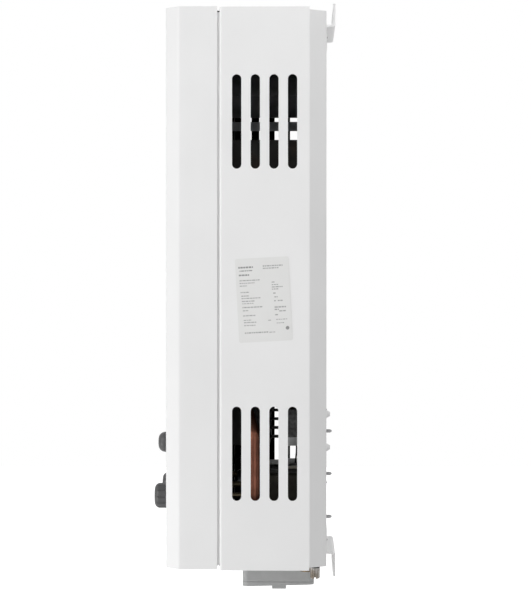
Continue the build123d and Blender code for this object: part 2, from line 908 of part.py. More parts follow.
with BuildPart() as one_bar:
    with BuildSketch(Plane.XZ.offset(-(chamber_middle + bar_length / 2))):
        with Locations((0, up(bar_base_height))):
            Rectangle(burner_bar_width, bar_height, align=(Align.CENTER, Align.MIN))
    extrude(amount=bar_length)
    fillet(one_bar.edges().filter_by(Axis.Y).group_by(Axis.Z)[-1], burner_bar_width / 3)
    with BuildSketch(Plane.XY.offset(up(bar_base_height + bar_height))):
        with Locations((0, chamber_middle)):
            with GridLocations(0, port_pitch, 1, port_count):
                SlotOverall(port_length, port_width)
    extrude(amount=-port_depth, mode=Mode.SUBTRACT)
    with BuildSketch(Plane.XY.offset(up(bar_base_height))):
        with Locations((0, inlet_y)):
            Circle(injector / 2 + injector_gap)
    extrude(amount=bar_height / 2, mode=Mode.SUBTRACT)
with BuildPart() as burner_bars:
    with GridLocations(burner_bar_pitch, 0, burner_bar_count, 1):
        add(one_bar.part)
burner_bars.part.label = "burner_bars"
export_step(burner_bars.part, "parts/burner_bars.step")

manifold_top_height = burner_base_height - manifold_drop
manifold_z = up(manifold_top_height - manifold_height / 2)
manifold_end_x = manifold_width / 2
block_y = (inlet_y - manifold_depth / 2 + out(gas_pipe_depth - gas_pipe_outer)) / 2
block_depth = out(gas_pipe_depth - gas_pipe_outer) - (inlet_y - manifold_depth / 2)

with BuildPart() as gas_manifold:
    with Locations((0, inlet_y, manifold_z)):
        Box(manifold_width, manifold_depth, manifold_height)
    with Locations((-manifold_end_x - manifold_block / 2, block_y, manifold_z)):
        Box(manifold_block, block_depth, manifold_height)
    fillet(gas_manifold.edges().filter_by(Axis.X), manifold_round)
    with BuildSketch(Plane.XY.offset(manifold_z + manifold_height / 2)):
        with Locations((0, inlet_y)):
            with GridLocations(burner_bar_pitch, 0, burner_bar_count, 1):
                Circle(injector / 4)
    extrude(amount=-manifold_height / 2, mode=Mode.SUBTRACT)
gas_manifold.part.label = "gas_manifold"
export_step(gas_manifold.part, "parts/gas_manifold.step")

shelf_z = manifold_z - manifold_height / 2 - shelf_sheet / 2
with BuildPart() as manifold_bracket:
    with BuildSketch(Plane.XZ.offset(-out(mount_face_depth))):
        with BuildLine():
            Polyline(
                (-manifold_end_x, shelf_z - shelf_cheek),
                (-manifold_end_x, shelf_z),
                (manifold_end_x, shelf_z),
                (manifold_end_x, shelf_z - shelf_cheek),
            )
        trace(line_width=shelf_sheet)
    extrude(amount=manifold_middle_depth + manifold_depth / 2 - mount_face_depth)
manifold_bracket.part.label = "manifold_bracket"
export_step(manifold_bracket.part, "parts/manifold_bracket.step")

with BuildPart() as injectors:
    with BuildSketch(Plane.XY.offset(manifold_z + manifold_height / 2)):
        with Locations((0, inlet_y)):
            with GridLocations(burner_bar_pitch, 0, burner_bar_count, 1):
                RegularPolygon(injector / 2, 6)
    extrude(amount=injector_height / 2)
    with BuildSketch(Plane.XY.offset(manifold_z + manifold_height / 2 + injector_height / 2)):
        with Locations((0, inlet_y)):
            with GridLocations(burner_bar_pitch, 0, burner_bar_count, 1):
                Circle(injector / 3)
    extrude(amount=injector_height / 2, taper=injector_taper)
injectors.part.label = "injectors"
export_step(injectors.part, "parts/injectors.step")

with BuildPart() as electrodes:
    for x, z in electrode_places:
        rear = out(chamber_front_depth - ceramic_inside)
        with BuildSketch(Plane(origin=(x, rear, z), x_dir=(1, 0, 0), z_dir=(0, -1, 0))):
            Circle(ceramic / 2)
        extrude(amount=ceramic_length)
        with BuildSketch(Plane(origin=(x, rear, z), x_dir=(1, 0, 0), z_dir=(0, 1, 0))):
            Circle(electrode_wire / 2)
        extrude(amount=electrode_reach)
        with BuildSketch(Plane(origin=(x, rear - ceramic_length, z), x_dir=(1, 0, 0), z_dir=(0, -1, 0))):
            Circle(electrode_wire / 2)
        extrude(amount=electrode_terminal)
electrodes.part.label = "electrodes"
export_step(electrodes.part, "parts/electrodes.step")

# ---- valves --------------------------------------------------------------------------------------

water_left_x = water_valve_x - water_valve_width / 2
housing_left_x = water_left_x - diaphragm_width
gas_right_x = gas_valve_x + gas_valve_width / 2
gas_left_x = gas_valve_x - gas_valve_width / 2
water_valve_depth = 2 * (valve_axis_depth - mount_face_depth)
gas_front_depth = valve_axis_depth + gas_valve_depth / 2
season_front_depth = mount_face_depth + season_valve_depth
season_z = up(valve_axis_height)
drain_boss_z = up(-drain_boss_drop)
outlet_z = valve_z - outlet_drop
bypass_end_x = housing_left_x + diaphragm_rim
bypass_end_z = valve_z + diaphragm_diameter / 4
housing_front_depth = valve_axis_depth + diaphragm_rim_diameter / 2

with BuildPart() as water_valve_body:
    with Locations((water_valve_x, valve_y, valve_z)):
        Box(water_valve_width, water_valve_depth, water_valve_height)
    fillet(water_valve_body.edges().filter_by(Axis.Y), water_valve_round)
    with BuildSketch(Plane.XZ.offset(-out(valve_axis_depth + water_valve_depth / 2))):
        with Locations((knob_spacing, valve_z)):
            Circle(gas_boss / 2)
    extrude(amount=gas_boss_length)
    with BuildSketch(Plane.XZ.offset(-out(valve_axis_depth + water_valve_depth / 2 + gas_boss_length))):
        with Locations((knob_spacing, valve_z)):
            Circle(spindle / 2 + spindle_fit)
    extrude(amount=-spindle_socket, mode=Mode.SUBTRACT)
    with BuildSketch(Plane.XY.offset(drain_boss_z)):
        with Locations((drain_x, out(drain_depth))):
            Circle(drain_boss / 2)
    extrude(until=Until.NEXT)
    with BuildSketch(Plane.XY.offset(drain_boss_z)):
        with Locations((drain_x, out(drain_depth))):
            Circle(drain_bore / 2)
    extrude(amount=drain_shank_length + drain_shank, mode=Mode.SUBTRACT)
    # The outlet port on the right and the bypass port below it.
    with BuildSketch(Plane.YZ.offset(water_valve_x + water_valve_width / 2)):
        with Locations((out(outlet_depth), outlet_z)):
            Circle(pipe_outer / 2 + port_wall)
        with Locations((out(bypass_depth), valve_z - water_valve_height / 3)):
            Circle(bypass_outer / 2 + bypass_port_wall)
    extrude(amount=port_boss)
water_valve_body.part.label = "water_valve_body"
export_step(water_valve_body.part, "parts/water_valve_body.step")

with BuildPart() as diaphragm_housing:
    with BuildSketch(Plane.YZ.offset(housing_left_x)):
        with Locations((valve_y, valve_z)):
            Circle(diaphragm_diameter / 2)
    extrude(amount=diaphragm_width)
    with BuildSketch(Plane.YZ.offset(housing_left_x + diaphragm_width / 2 - diaphragm_rim / 2)):
        with Locations((valve_y, valve_z)):
            Circle(diaphragm_rim_diameter / 2)
    extrude(amount=diaphragm_rim)
    fillet(diaphragm_housing.edges().group_by(Axis.X)[0], diaphragm_rim / 2)
    # The port for the bypass pipe.
    with BuildSketch(Plane.XZ.offset(-out(housing_front_depth))):
        with Locations((bypass_end_x, bypass_end_z)):
            Circle(bypass_outer / 2 + sheet)
    extrude(amount=-diaphragm_rim_diameter / 4)
    # The chamber that the diaphragm works in, and the way through for the push rod.
    with BuildSketch(Plane.YZ.offset(housing_left_x + diaphragm_rim / 2)):
        with Locations((valve_y, valve_z)):
            Circle(diaphragm_diameter / 2 - diaphragm_rim)
    extrude(amount=diaphragm_width - diaphragm_rim, mode=Mode.SUBTRACT)
    with BuildSketch(Plane.YZ.offset(housing_left_x)):
        with Locations((valve_y, valve_z)):
            Circle(link_bore / 2)
    extrude(amount=diaphragm_rim, mode=Mode.SUBTRACT)
diaphragm_housing.part.label = "diaphragm_housing"
export_step(diaphragm_housing.part, "parts/diaphragm_housing.step")

pad_z = valve_z + link_outer / 2 + link_pad_height
with BuildPart() as valve_link:
    with BuildSketch(Plane.YZ.offset(gas_right_x)):
        with Locations((valve_y, valve_z)):
            Circle(link_outer / 2)
    extrude(amount=housing_left_x - gas_right_x)
    with Locations((link_pad_x, valve_y, pad_z)):
        Box(
            link_pad_width,
            link_pad_depth,
            link_outer / 2 + link_pad_height,
            align=(Align.CENTER, Align.CENTER, Align.MAX),
        )
    with BuildSketch(Plane.YZ.offset(gas_right_x)):
        with Locations((valve_y, valve_z)):
            Circle(link_bore / 2)
    extrude(amount=housing_left_x - gas_right_x, mode=Mode.SUBTRACT)
    # The slot that the rod's pin moves in.
    with BuildSketch(Plane.XY.offset(valve_z)):
        with Locations((rod_pin_x - rod_travel / 2, valve_y)):
            SlotCenterToCenter(rod_travel, rod_pin + 2 * fit)
    extrude(amount=link_outer, mode=Mode.SUBTRACT)
valve_link.part.label = "valve_link"
export_step(valve_link.part, "parts/valve_link.step")

with BuildPart() as push_rod:
    rod_length = housing_left_x + diaphragm_width / 2 - gas_right_x + rod_reach
    with BuildSketch(Plane.YZ.offset(gas_right_x - rod_reach)):
        with Locations((valve_y, valve_z)):
            Circle(rod / 2)
    extrude(amount=rod_length)
    # The plate that the diaphragm pushes on.
    with BuildSketch(Plane.YZ.offset(housing_left_x + diaphragm_width / 2)):
        with Locations((valve_y, valve_z)):
            Circle(diaphragm_diameter / 4)
    extrude(amount=sheet)
    with BuildSketch(Plane.XY.offset(valve_z)):
        with Locations((rod_pin_x, valve_y)):
            Circle(rod_pin / 2)
    extrude(amount=link_outer / 2 + link_pad_height + rod_pin_rise)
push_rod.part.label = "push_rod"
export_step(push_rod.part, "parts/push_rod.step")

lever_x = rod_pin_x + rod_pin / 2 + fit + lever_thickness / 2
switch_left_x = lever_x + lever_thickness / 2 + lever_gap
with BuildPart() as micro_switch:
    with Locations((switch_left_x + switch_width / 2, valve_y, pad_z + switch_height / 2)):
        Box(switch_width, switch_depth, switch_height)
    fillet(micro_switch.edges().filter_by(Axis.Y), sheet)
    # Two ears at the upper left corner hold the lever's pivot.
    pivot_z = pad_z + switch_height - lever_pivot_drop
    for hand in (-1, 1):
        ear_y = valve_y + hand * (switch_depth / 2 - sheet / 2)
        with BuildSketch(Plane.XZ.offset(-(ear_y + sheet / 2))):
            with Locations((lever_x, pivot_z)):
                Circle(lever_eye / 2 + sheet)
            with Locations((lever_x, pivot_z)):
                Rectangle(
                    switch_left_x - lever_x + 2 * sheet, lever_eye + sheet, align=(Align.MIN, Align.CENTER)
                )
        extrude(amount=sheet)
    with BuildSketch(Plane.XZ.offset(-(valve_y + switch_depth / 2))):
        with Locations((lever_x, pivot_z)):
            Circle(sheet / 2)
    extrude(amount=switch_depth)
micro_switch.part.label = "micro_switch"
export_step(micro_switch.part, "parts/micro_switch.step")

with BuildPart() as switch_lever:
    with BuildSketch(Plane.XZ.offset(-(valve_y + lever_width / 2))):
        with Locations((lever_x, pivot_z)):
            Circle(lever_eye / 2)
            Rectangle(lever_thickness, pivot_z - pad_z - lever_floor_gap, align=(Align.CENTER, Align.MAX))
        with Locations((lever_x, pivot_z)):
            Circle(sheet / 2 + spindle_fit, mode=Mode.SUBTRACT)
    extrude(amount=lever_width)
switch_lever.part.label = "switch_lever"
export_step(switch_lever.part, "parts/switch_lever.step")

with BuildPart() as gas_valve_body:
    with Locations((gas_valve_x, valve_y, valve_z)):
        Box(gas_valve_width, gas_valve_depth, gas_valve_height)
    fillet(gas_valve_body.edges().filter_by(Axis.Y), gas_valve_round)
    with BuildSketch(Plane.XZ.offset(-out(gas_front_depth))):
        with Locations((0, valve_z)):
            Circle(gas_boss / 2)
    extrude(amount=gas_boss_length)
    with BuildSketch(Plane.XZ.offset(-out(gas_front_depth + gas_boss_length))):
        with Locations((0, valve_z)):
            Circle(spindle / 2 + spindle_fit)
    extrude(amount=-spindle_socket, mode=Mode.SUBTRACT)
    # The bore that the push rod enters from the right.
    with BuildSketch(Plane.YZ.offset(gas_right_x)):
        with Locations((valve_y, valve_z)):
            Circle(link_bore / 2)
    extrude(amount=-(rod_reach + rod_travel + link_bore / 2), mode=Mode.SUBTRACT)
gas_valve_body.part.label = "gas_valve_body"
export_step(gas_valve_body.part, "parts/gas_valve_body.step")

with BuildPart() as solenoid_valve:
    with BuildSketch(Plane.XZ.offset(-out(gas_front_depth))):
        with Locations((solenoid_x, valve_z)):
            Circle(solenoid / 2 - sheet)
    extrude(amount=solenoid_length)
    with BuildSketch(Plane.XZ.offset(-out(gas_front_depth + sheet))):
        with Locations((solenoid_x, valve_z)):
            Circle(solenoid / 2)
    extrude(amount=solenoid_length - 3 * sheet)
    fillet(solenoid_valve.edges().group_by(Axis.Y)[0], sheet)
solenoid_valve.part.label = "solenoid_valve"
export_step(solenoid_valve.part, "parts/solenoid_valve.step")

with BuildPart() as season_valve:
    with Locations((season_x, out(mount_face_depth + season_valve_depth / 2), season_z)):
        Box(season_valve_width, season_valve_depth, season_valve_height)
    fillet(season_valve.edges().filter_by(Axis.Y), gas_valve_round)
    with BuildSketch(Plane.XZ.offset(-out(season_front_depth))):
        with Locations((season_x, season_z)):
            Circle(gas_boss / 2)
    extrude(amount=gas_boss_length)
    with BuildSketch(Plane.XZ.offset(-out(season_front_depth + gas_boss_length))):
        with Locations((season_x, season_z)):
            Circle(spindle / 2 + spindle_fit)
    extrude(amount=-spindle_socket, mode=Mode.SUBTRACT)
season_valve.part.label = "season_valve"
export_step(season_valve.part, "parts/season_valve.step")

with BuildPart() as gas_pipes:
    # From the gas valve to the season valve, and on up to the manifold.
    with BuildSketch(Plane.YZ.offset(season_x + season_valve_width / 2)):
        with Locations((out(gas_pipe_depth), valve_z)):
            Circle(gas_pipe_outer / 2)
            Circle(gas_pipe_outer / 2 - gas_pipe_wall, mode=Mode.SUBTRACT)
    extrude(amount=gas_left_x - season_x - season_valve_width / 2)
    season_top_z = season_z + season_valve_height / 2
    with BuildSketch(Plane.XY.offset(season_top_z)):
        with Locations((season_port_x, out(gas_pipe_depth))):
            Circle(gas_pipe_outer / 2)
            Circle(gas_pipe_outer / 2 - gas_pipe_wall, mode=Mode.SUBTRACT)
    extrude(amount=manifold_z - manifold_height / 2 - season_top_z)
gas_pipes.part.label = "gas_pipes"
export_step(gas_pipes.part, "parts/gas_pipes.step")


def spindle_rod(knob_x, boss_depth):
    """A spindle from inside its valve's boss to inside its knob, flattened at the knob's end."""
    end_depth = casing_depth + knob_gap + knob_bore_depth
    with BuildPart() as rod_part:
        with BuildSketch(Plane.XZ.offset(-out(boss_depth - spindle_socket + fit))):
            with Locations((knob_x, up(knob_height))):
                Circle(spindle / 2)
        extrude(amount=end_depth - boss_depth + spindle_socket - fit)
        with BuildSketch(Plane.XZ.offset(-out(end_depth))):
            with Locations((knob_x, up(knob_height) + spindle / 2)):
                Rectangle(spindle, 2 * spindle_flat)
        extrude(amount=-knob_bore_depth, mode=Mode.SUBTRACT)
    return rod_part


water_spindle = spindle_rod(knob_spacing, valve_axis_depth + water_valve_depth / 2 + gas_boss_length)
water_spindle.part.label = "water_spindle"
export_step(water_spindle.part, "parts/water_spindle.step")

gas_spindle = spindle_rod(0, gas_front_depth + gas_boss_length)
gas_spindle.part.label = "gas_spindle"
export_step(gas_spindle.part, "parts/gas_spindle.step")

season_spindle = spindle_rod(season_x, season_front_depth + gas_boss_length)
season_spindle.part.label = "season_spindle"
export_step(season_spindle.part, "parts/season_spindle.step")

# ---- water pipes and fittings ------------------------------------------------------------------

pipe_bend = chamber_corner + pipe_outer / 2
wrap_x = chamber_width / 2 + pipe_gap + pipe_outer / 2
wrap_front_depth = chamber_front_depth + pipe_gap + pipe_outer / 2
wrap_back_depth = chamber_back_depth - pipe_gap - pipe_outer / 2
water_right_x = water_valve_x + water_valve_width / 2
rise_x = water_right_x + rise_reach
inlet_depth = -(tube_rows[0] - back_y)
outlet_tube_depth = -(tube_rows[-1] - back_y)

cold_route = [
    (water_right_x + port_boss, out(outlet_depth), outlet_z),
    (rise_x, out(outlet_depth), outlet_z),
    (rise_x, out(rise_depth), outlet_z),
    (rise_x, out(rise_depth), up(rise_top_height)),
    (wrap_x, out(rise_depth + wrap_step), up(chamber_base_height - wrap_step)),
    (wrap_x, out(rise_depth + wrap_step), up(wrap_height)),
    (wrap_x, out(wrap_front_depth), up(wrap_height + wrap_rise)),
    (-wrap_x, out(wrap_front_depth), up(wrap_height + 2 * wrap_rise)),
    (-wrap_x, out(wrap_back_depth), up(wrap_height + 3 * wrap_rise)),
    (wrap_x, out(wrap_back_depth), up(wrap_height + 4 * wrap_rise)),
    (wrap_x, out(rise_depth), up(wrap_height + 5 * wrap_rise)),
    (tube_inlet_x + wrap_step, out(inlet_depth), up(wrap_height + 5 * wrap_rise + 2 * wrap_step)),
    (tube_inlet_x + wrap_step, out(inlet_depth), tube_z),
    (tube_inlet_x, out(inlet_depth), tube_z),
]
cold_pipe = bent_tube(cold_route, pipe_bend, pipe_outer, pipe_outer - 2 * pipe_wall)
cold_pipe.part.label = "cold_pipe"
export_step(cold_pipe.part, "parts/cold_pipe.step")

bypass_z = valve_z - water_valve_height / 3
bypass_front_depth = valve_axis_depth + water_valve_depth / 2 + bypass_front_gap + bypass_outer / 2
bypass_right_x = water_right_x + port_boss + bypass_reach
bypass_route = [
    (water_right_x + port_boss, out(bypass_depth), bypass_z),
    (bypass_right_x, out(bypass_depth), bypass_z),
    (bypass_right_x, out(bypass_forward_depth), bypass_z),
    (bypass_right_x, out(bypass_front_depth), bypass_z + bypass_rise),
    (water_right_x, out(bypass_front_depth), bypass_z + bypass_rise),
    (bypass_end_x, out(bypass_front_depth), bypass_end_z),
    (bypass_end_x, out(housing_front_depth), bypass_end_z),
]
bypass_pipe = bent_tube(bypass_route, pipe_bend, bypass_outer, bypass_outer - 2 * pipe_wall)
bypass_pipe.part.label = "bypass_pipe"
export_step(bypass_pipe.part, "parts/bypass_pipe.step")

hot_top_z = up(mount_base_height)
hot_route = [
    (-tube_inlet_x, out(outlet_tube_depth), tube_z),
    (-tube_inlet_x - wrap_step, out(outlet_tube_depth), tube_z),
    (-tube_inlet_x - wrap_step, out(outlet_tube_depth), up(chamber_base_height)),
    (hot_outlet_x, out(hot_outlet_depth), up(burner_base_height)),
    (hot_outlet_x, out(hot_outlet_depth), hot_top_z),
]
hot_pipe = bent_tube(hot_route, pipe_bend, pipe_outer, pipe_outer - 2 * pipe_wall)
hot_pipe.part.label = "hot_pipe"
export_step(hot_pipe.part, "parts/hot_pipe.step")


def threaded_fitting(x, y, drop, top_z):
    """A G1/2 nipple with a hexagon collar at its top, bored through."""
    with BuildPart() as nipple:
        with BuildSketch(Plane.XY.offset(up(-drop))):
            with Locations((x, y)):
                Circle(thread / 2)
        extrude(amount=top_z - up(-drop))
        chamfer(nipple.edges().group_by(Axis.Z)[0], sheet)
        with BuildSketch(Plane.XY.offset(top_z - fitting_hex_height)):
            with Locations((x, y)):
                RegularPolygon(fitting_hex / 2, 6, major_radius=False)
        extrude(amount=fitting_hex_height)
        with BuildSketch(Plane.XY.offset(up(-drop))):
            with Locations((x, y)):
                Circle(fitting_bore / 2)
        extrude(amount=top_z - up(-drop), mode=Mode.SUBTRACT)
    return nipple


water_base_z = valve_z - water_valve_height / 2
gas_base_z = valve_z - gas_valve_height / 2
cold_inlet = threaded_fitting(cold_inlet_x, out(cold_inlet_depth), cold_inlet_drop, water_base_z)
cold_inlet.part.label = "cold_inlet"
export_step(cold_inlet.part, "parts/cold_inlet.step")

gas_inlet = threaded_fitting(gas_inlet_x, valve_y, gas_inlet_drop, gas_base_z)
gas_inlet.part.label = "gas_inlet"
export_step(gas_inlet.part, "parts/gas_inlet.step")

hot_outlet = threaded_fitting(hot_outlet_x, out(hot_outlet_depth), hot_outlet_drop, hot_top_z)
hot_outlet.part.label = "hot_outlet"
export_step(hot_outlet.part, "parts/hot_outlet.step")

with BuildPart() as drain_seal:
    with BuildSketch(Plane.XY.offset(drain_boss_z)):
        with Locations((drain_x, out(drain_depth))):
            Circle(drain_cap / 2)
            Circle(drain_seal_bore / 2, mode=Mode.SUBTRACT)
    extrude(amount=-drain_seal_height)
    fillet(drain_seal.edges().filter_by(GeomType.CIRCLE).group_by(SortBy.RADIUS)[-1], drain_seal_height / 3)
drain_seal.part.label = "drain_seal"
export_step(drain_seal.part, "parts/drain_seal.step")

with BuildPart() as drain_plug:
    cap_top_z = drain_boss_z - drain_seal_height
    with BuildSketch(Plane.XY.offset(cap_top_z)):
        with Locations((drain_x, out(drain_depth))):
            Circle(drain_cap / 2)
    extrude(amount=-drain_cap_height)
    chamfer(drain_plug.edges().group_by(Axis.Z)[0], sheet)
    with BuildSketch(Plane.XY.offset(cap_top_z)):
        with Locations((drain_x, out(drain_depth))):
            Circle(drain_shank / 2)
    extrude(amount=drain_shank_length)
    # Grip flutes and a coin slot.
    with BuildSketch(Plane.XY.offset(cap_top_z)):
        with Locations((drain_x, out(drain_depth))):
            with PolarLocations(drain_cap / 2, knob_grip):
                Circle(drain_slot / 3)
    extrude(amount=-drain_cap_height, mode=Mode.SUBTRACT)
    with BuildSketch(Plane.XY.offset(cap_top_z - drain_cap_height)):
        with Locations((drain_x, out(drain_depth))):
            Rectangle(drain_cap, drain_slot)
    extrude(amount=drain_slot, mode=Mode.SUBTRACT)
drain_plug.part.label = "drain_plug"
export_step(drain_plug.part, "parts/drain_plug.step")

with BuildPart() as pipe_nuts:
    for x, depth in ((tube_inlet_x, inlet_depth), (-tube_inlet_x, outlet_tube_depth)):
        with BuildSketch(Plane.YZ.offset(x - nut_length / 2)):
            with Locations((out(depth), tube_z)):
                RegularPolygon(nut_hex / 2, 6, major_radius=False)
                Circle(tube_outer / 2 + hole_fit, mode=Mode.SUBTRACT)
        extrude(amount=nut_length)
    with BuildSketch(Plane.XY.offset(hot_top_z)):
        with Locations((hot_outlet_x, out(hot_outlet_depth))):
            RegularPolygon(nut_hex / 2, 6, major_radius=False)
            Circle(pipe_outer / 2 + hole_fit, mode=Mode.SUBTRACT)
    extrude(amount=nut_length)
pipe_nuts.part.label = "pipe_nuts"
export_step(pipe_nuts.part, "parts/pipe_nuts.step")

# ---- battery box ---------------------------------------------------------------------------------

box_base_z = up(-box_drop)
box_top_z = up(box_top_height)
hinge_x = box_x - box_outer_x / 2 - hinge_offset
hinge_z = box_base_z

with BuildPart() as battery_box:
    with BuildSketch(Plane.XY.offset(box_base_z)):
        with Locations((box_x, box_y)):
            RectangleRounded(box_outer_x, box_outer_y, box_corner)
    extrude(amount=box_top_z - box_base_z)
    # The flange that rests on the bottom plate.
    with BuildSketch(Plane.XY.offset(up(end_recess + sheet))):
        with Locations((box_x, box_y)):
            RectangleRounded(box_outer_x + 2 * box_flange, box_outer_y + 2 * box_flange, box_corner)
    extrude(amount=box_flange_height)
    with BuildSketch(Plane.XY.offset(box_base_z)):
        with Locations((box_x, box_y)):
            RectangleRounded(box_outer_x - 2 * box_wall, box_outer_y - 2 * box_wall, box_corner - box_wall)
    extrude(amount=box_top_z - box_base_z - box_wall, mode=Mode.SUBTRACT)
    # Outer hinge knuckles, each with an arm to the wall.
    for hand in (-1, 1):
        knuckle_y = box_y + hand * (hinge_length - hinge_knuckle) / 2
        with BuildSketch(Plane.XZ.offset(-(knuckle_y + hinge_knuckle / 2))):
            with Locations((hinge_x, hinge_z)):
                Circle(hinge_barrel / 2)
            with BuildLine():
                Polyline(
                    (hinge_x - hinge_barrel / 2, hinge_z),
                    (hinge_x + hinge_offset + box_wall / 2, hinge_z + 2 * hinge_barrel),
                    (hinge_x + hinge_offset + box_wall / 2, hinge_z + lid_rim_gap),
                    (hinge_x, hinge_z),
                    close=True,
                )
            make_face()
            with Locations((hinge_x, hinge_z)):
                Circle(hinge_pin / 2, mode=Mode.SUBTRACT)
        extrude(amount=hinge_knuckle)
battery_box.part.label = "battery_box"
export_step(battery_box.part, "parts/battery_box.step")

with BuildPart() as battery_cells:
    cell_base_z = box_base_z + lid_rim_gap
    for hand in (-1, 1):
        cell_y = box_y + hand * (cell + cell_gap) / 2
        with BuildSketch(Plane.XY.offset(cell_base_z)):
            with Locations((box_x, cell_y)):
                Circle(cell / 2)
        extrude(amount=cell_length - cell_nub_height)
        nub_z = cell_base_z + cell_length - cell_nub_height
        with BuildSketch(Plane.XY.offset(nub_z)):
            with Locations((box_x, cell_y)):
                Circle(cell_nub / 2)
        extrude(amount=cell_nub_height)
battery_cells.part.label = "battery_cells"
export_step(battery_cells.part, "parts/battery_cells.step")

lid_top_z = box_base_z - lid_rim_gap
lid_back_y = box_y + box_outer_y / 2
lid_front_y = box_y - box_outer_y / 2
tab_x = box_x + box_outer_x / 2 - tab_reach / 2 - tab_round

with BuildPart() as battery_lid:
    with BuildSketch(Plane.YZ.offset(box_x - box_outer_x / 2)):
        with BuildLine():
            Polyline(
                (lid_back_y, lid_top_z),
                (lid_front_y, lid_top_z),
                (lid_front_y, lid_top_z - lid_thickness - lid_extra_front),
                (lid_back_y, lid_top_z - lid_thickness),
                close=True,
            )
        make_face()
    extrude(amount=box_outer_x)
    fillet(battery_lid.edges().filter_by(Axis.Z), box_corner)
    with BuildSketch(Plane.XY.offset(lid_top_z)):
        with Locations((tab_x, out(tab_depth))):
            RectangleRounded(tab_reach, tab_width, tab_round)
    extrude(amount=-(lid_thickness + lid_extra_front / 2 + tab_drop))
    # The middle hinge knuckle and its arm.
    lid_knuckle = hinge_length - 2 * hinge_knuckle - 2 * hinge_side_gap
    with BuildSketch(Plane.XZ.offset(-(box_y + lid_knuckle / 2))):
        with Locations((hinge_x, hinge_z)):
            Circle(hinge_barrel / 2)
        with BuildLine():
            Polyline(
                (hinge_x - hinge_barrel / 2, hinge_z),
                (hinge_x, hinge_z),
                (hinge_x + hinge_offset + box_wall, lid_top_z),
                (hinge_x + hinge_offset + box_wall, lid_top_z - lid_thickness),
                (hinge_x - hinge_barrel / 3, hinge_z - hinge_barrel / 3),
                close=True,
            )
        make_face()
        with Locations((hinge_x, hinge_z)):
            Circle(hinge_pin / 2 + hinge_hole_fit, mode=Mode.SUBTRACT)
    extrude(amount=lid_knuckle)
battery_lid.part.label = "battery_lid"
export_step(battery_lid.part, "parts/battery_lid.step")

with BuildPart() as lid_hinge_pin:
    with BuildSketch(Plane.XZ.offset(-(box_y + hinge_length / 2))):
        with Locations((hinge_x, hinge_z)):
            Circle(hinge_pin / 2)
    extrude(amount=hinge_length)
lid_hinge_pin.part.label = "lid_hinge_pin"
export_step(lid_hinge_pin.part, "parts/lid_hinge_pin.step")

# ---- knobs and the push button -------------------------------------------------------------------


def round_knob(knob_x):
    """A domed knob with finger grooves, a pointer groove and a flatted bore."""
    base_y = out(casing_depth + knob_gap)
    with BuildPart() as turned:
        with BuildSketch(Plane(origin=(knob_x, base_y, up(knob_height)), x_dir=(1, 0, 0), z_dir=(0, -1, 0))):
            Circle(knob / 2)
        extrude(amount=knob_length)
        fillet(turned.edges().group_by(Axis.Y)[0], knob_round)
        fillet(turned.edges().group_by(Axis.Y)[-1], sheet / 2)
        with BuildSketch(Plane(origin=(knob_x, base_y, up(knob_height)), x_dir=(1, 0, 0), z_dir=(0, -1, 0))):
            with PolarLocations(knob / 2 + knob_grip_width / 2 - knob_grip_depth, knob_grip):
                Circle(knob_grip_width / 2)
        extrude(amount=knob_length, mode=Mode.SUBTRACT)
        with BuildSketch(Plane.XZ.offset(-(base_y - knob_length))):
            with Locations((knob_x, up(knob_height) + knob / 4)):
                Rectangle(knob_mark_width, knob / 2 - knob_grip_depth)
        extrude(amount=-knob_mark_depth, mode=Mode.SUBTRACT)
        with BuildSketch(Plane.XZ.offset(-base_y)):
            with Locations((knob_x, up(knob_height))):
                Circle(spindle / 2 + spindle_fit)
            with Locations((knob_x, up(knob_height) + spindle / 2)):
                Rectangle(
                    spindle + 2 * spindle_fit, 2 * (spindle_flat - spindle_fit), mode=Mode.SUBTRACT
                )
        extrude(amount=knob_bore_depth + spindle_fit, mode=Mode.SUBTRACT)
    return turned


water_knob = round_knob(knob_spacing)
water_knob.part.label = "water_knob"
export_step(water_knob.part, "parts/water_knob.step")

gas_knob = round_knob(0)
gas_knob.part.label = "gas_knob"
export_step(gas_knob.part, "parts/gas_knob.step")

season_knob = round_knob(season_x)
season_knob.part.label = "season_knob"
export_step(season_knob.part, "parts/season_knob.step")

button_axis = Plane(
    origin=(button_x, out(inner_face_depth), up(button_height)), x_dir=(1, 0, 0), z_dir=(0, -1, 0)
)
guide_inner = button_rim / 2 + guide_fit

with BuildPart() as power_button:
    with BuildSketch(button_axis.offset(-guide_fit)):
        Circle(button / 2)
    extrude(amount=guide_fit + sheet + button_length)
    fillet(power_button.edges().group_by(Axis.Y)[0], button_dome)
    with BuildSketch(button_axis.offset(-guide_fit)):
        Circle(button_rim / 2)
    extrude(amount=-button_rim_height)
    # The hollow that takes the spring.
    with BuildSketch(button_axis.offset(-guide_fit - button_rim_height)):
        Circle(spring_diameter / 2 + spring_wire)
    extrude(amount=button_rim_height + spring_pocket, mode=Mode.SUBTRACT)
power_button.part.label = "power_button"
export_step(power_button.part, "parts/power_button.step")

with BuildPart() as button_guide:
    with BuildSketch(button_axis):
        Circle(guide_flange / 2)
        Circle(guide_inner, mode=Mode.SUBTRACT)
    extrude(amount=-guide_flange_height)
    with BuildSketch(button_axis):
        Circle(guide_inner + guide_wall)
        Circle(guide_inner, mode=Mode.SUBTRACT)
    extrude(amount=-guide_length)
    with BuildSketch(button_axis.offset(-guide_length)):
        Circle(guide_inner + guide_wall)
    extrude(amount=guide_wall)
button_guide.part.label = "button_guide"
export_step(button_guide.part, "parts/button_guide.step")

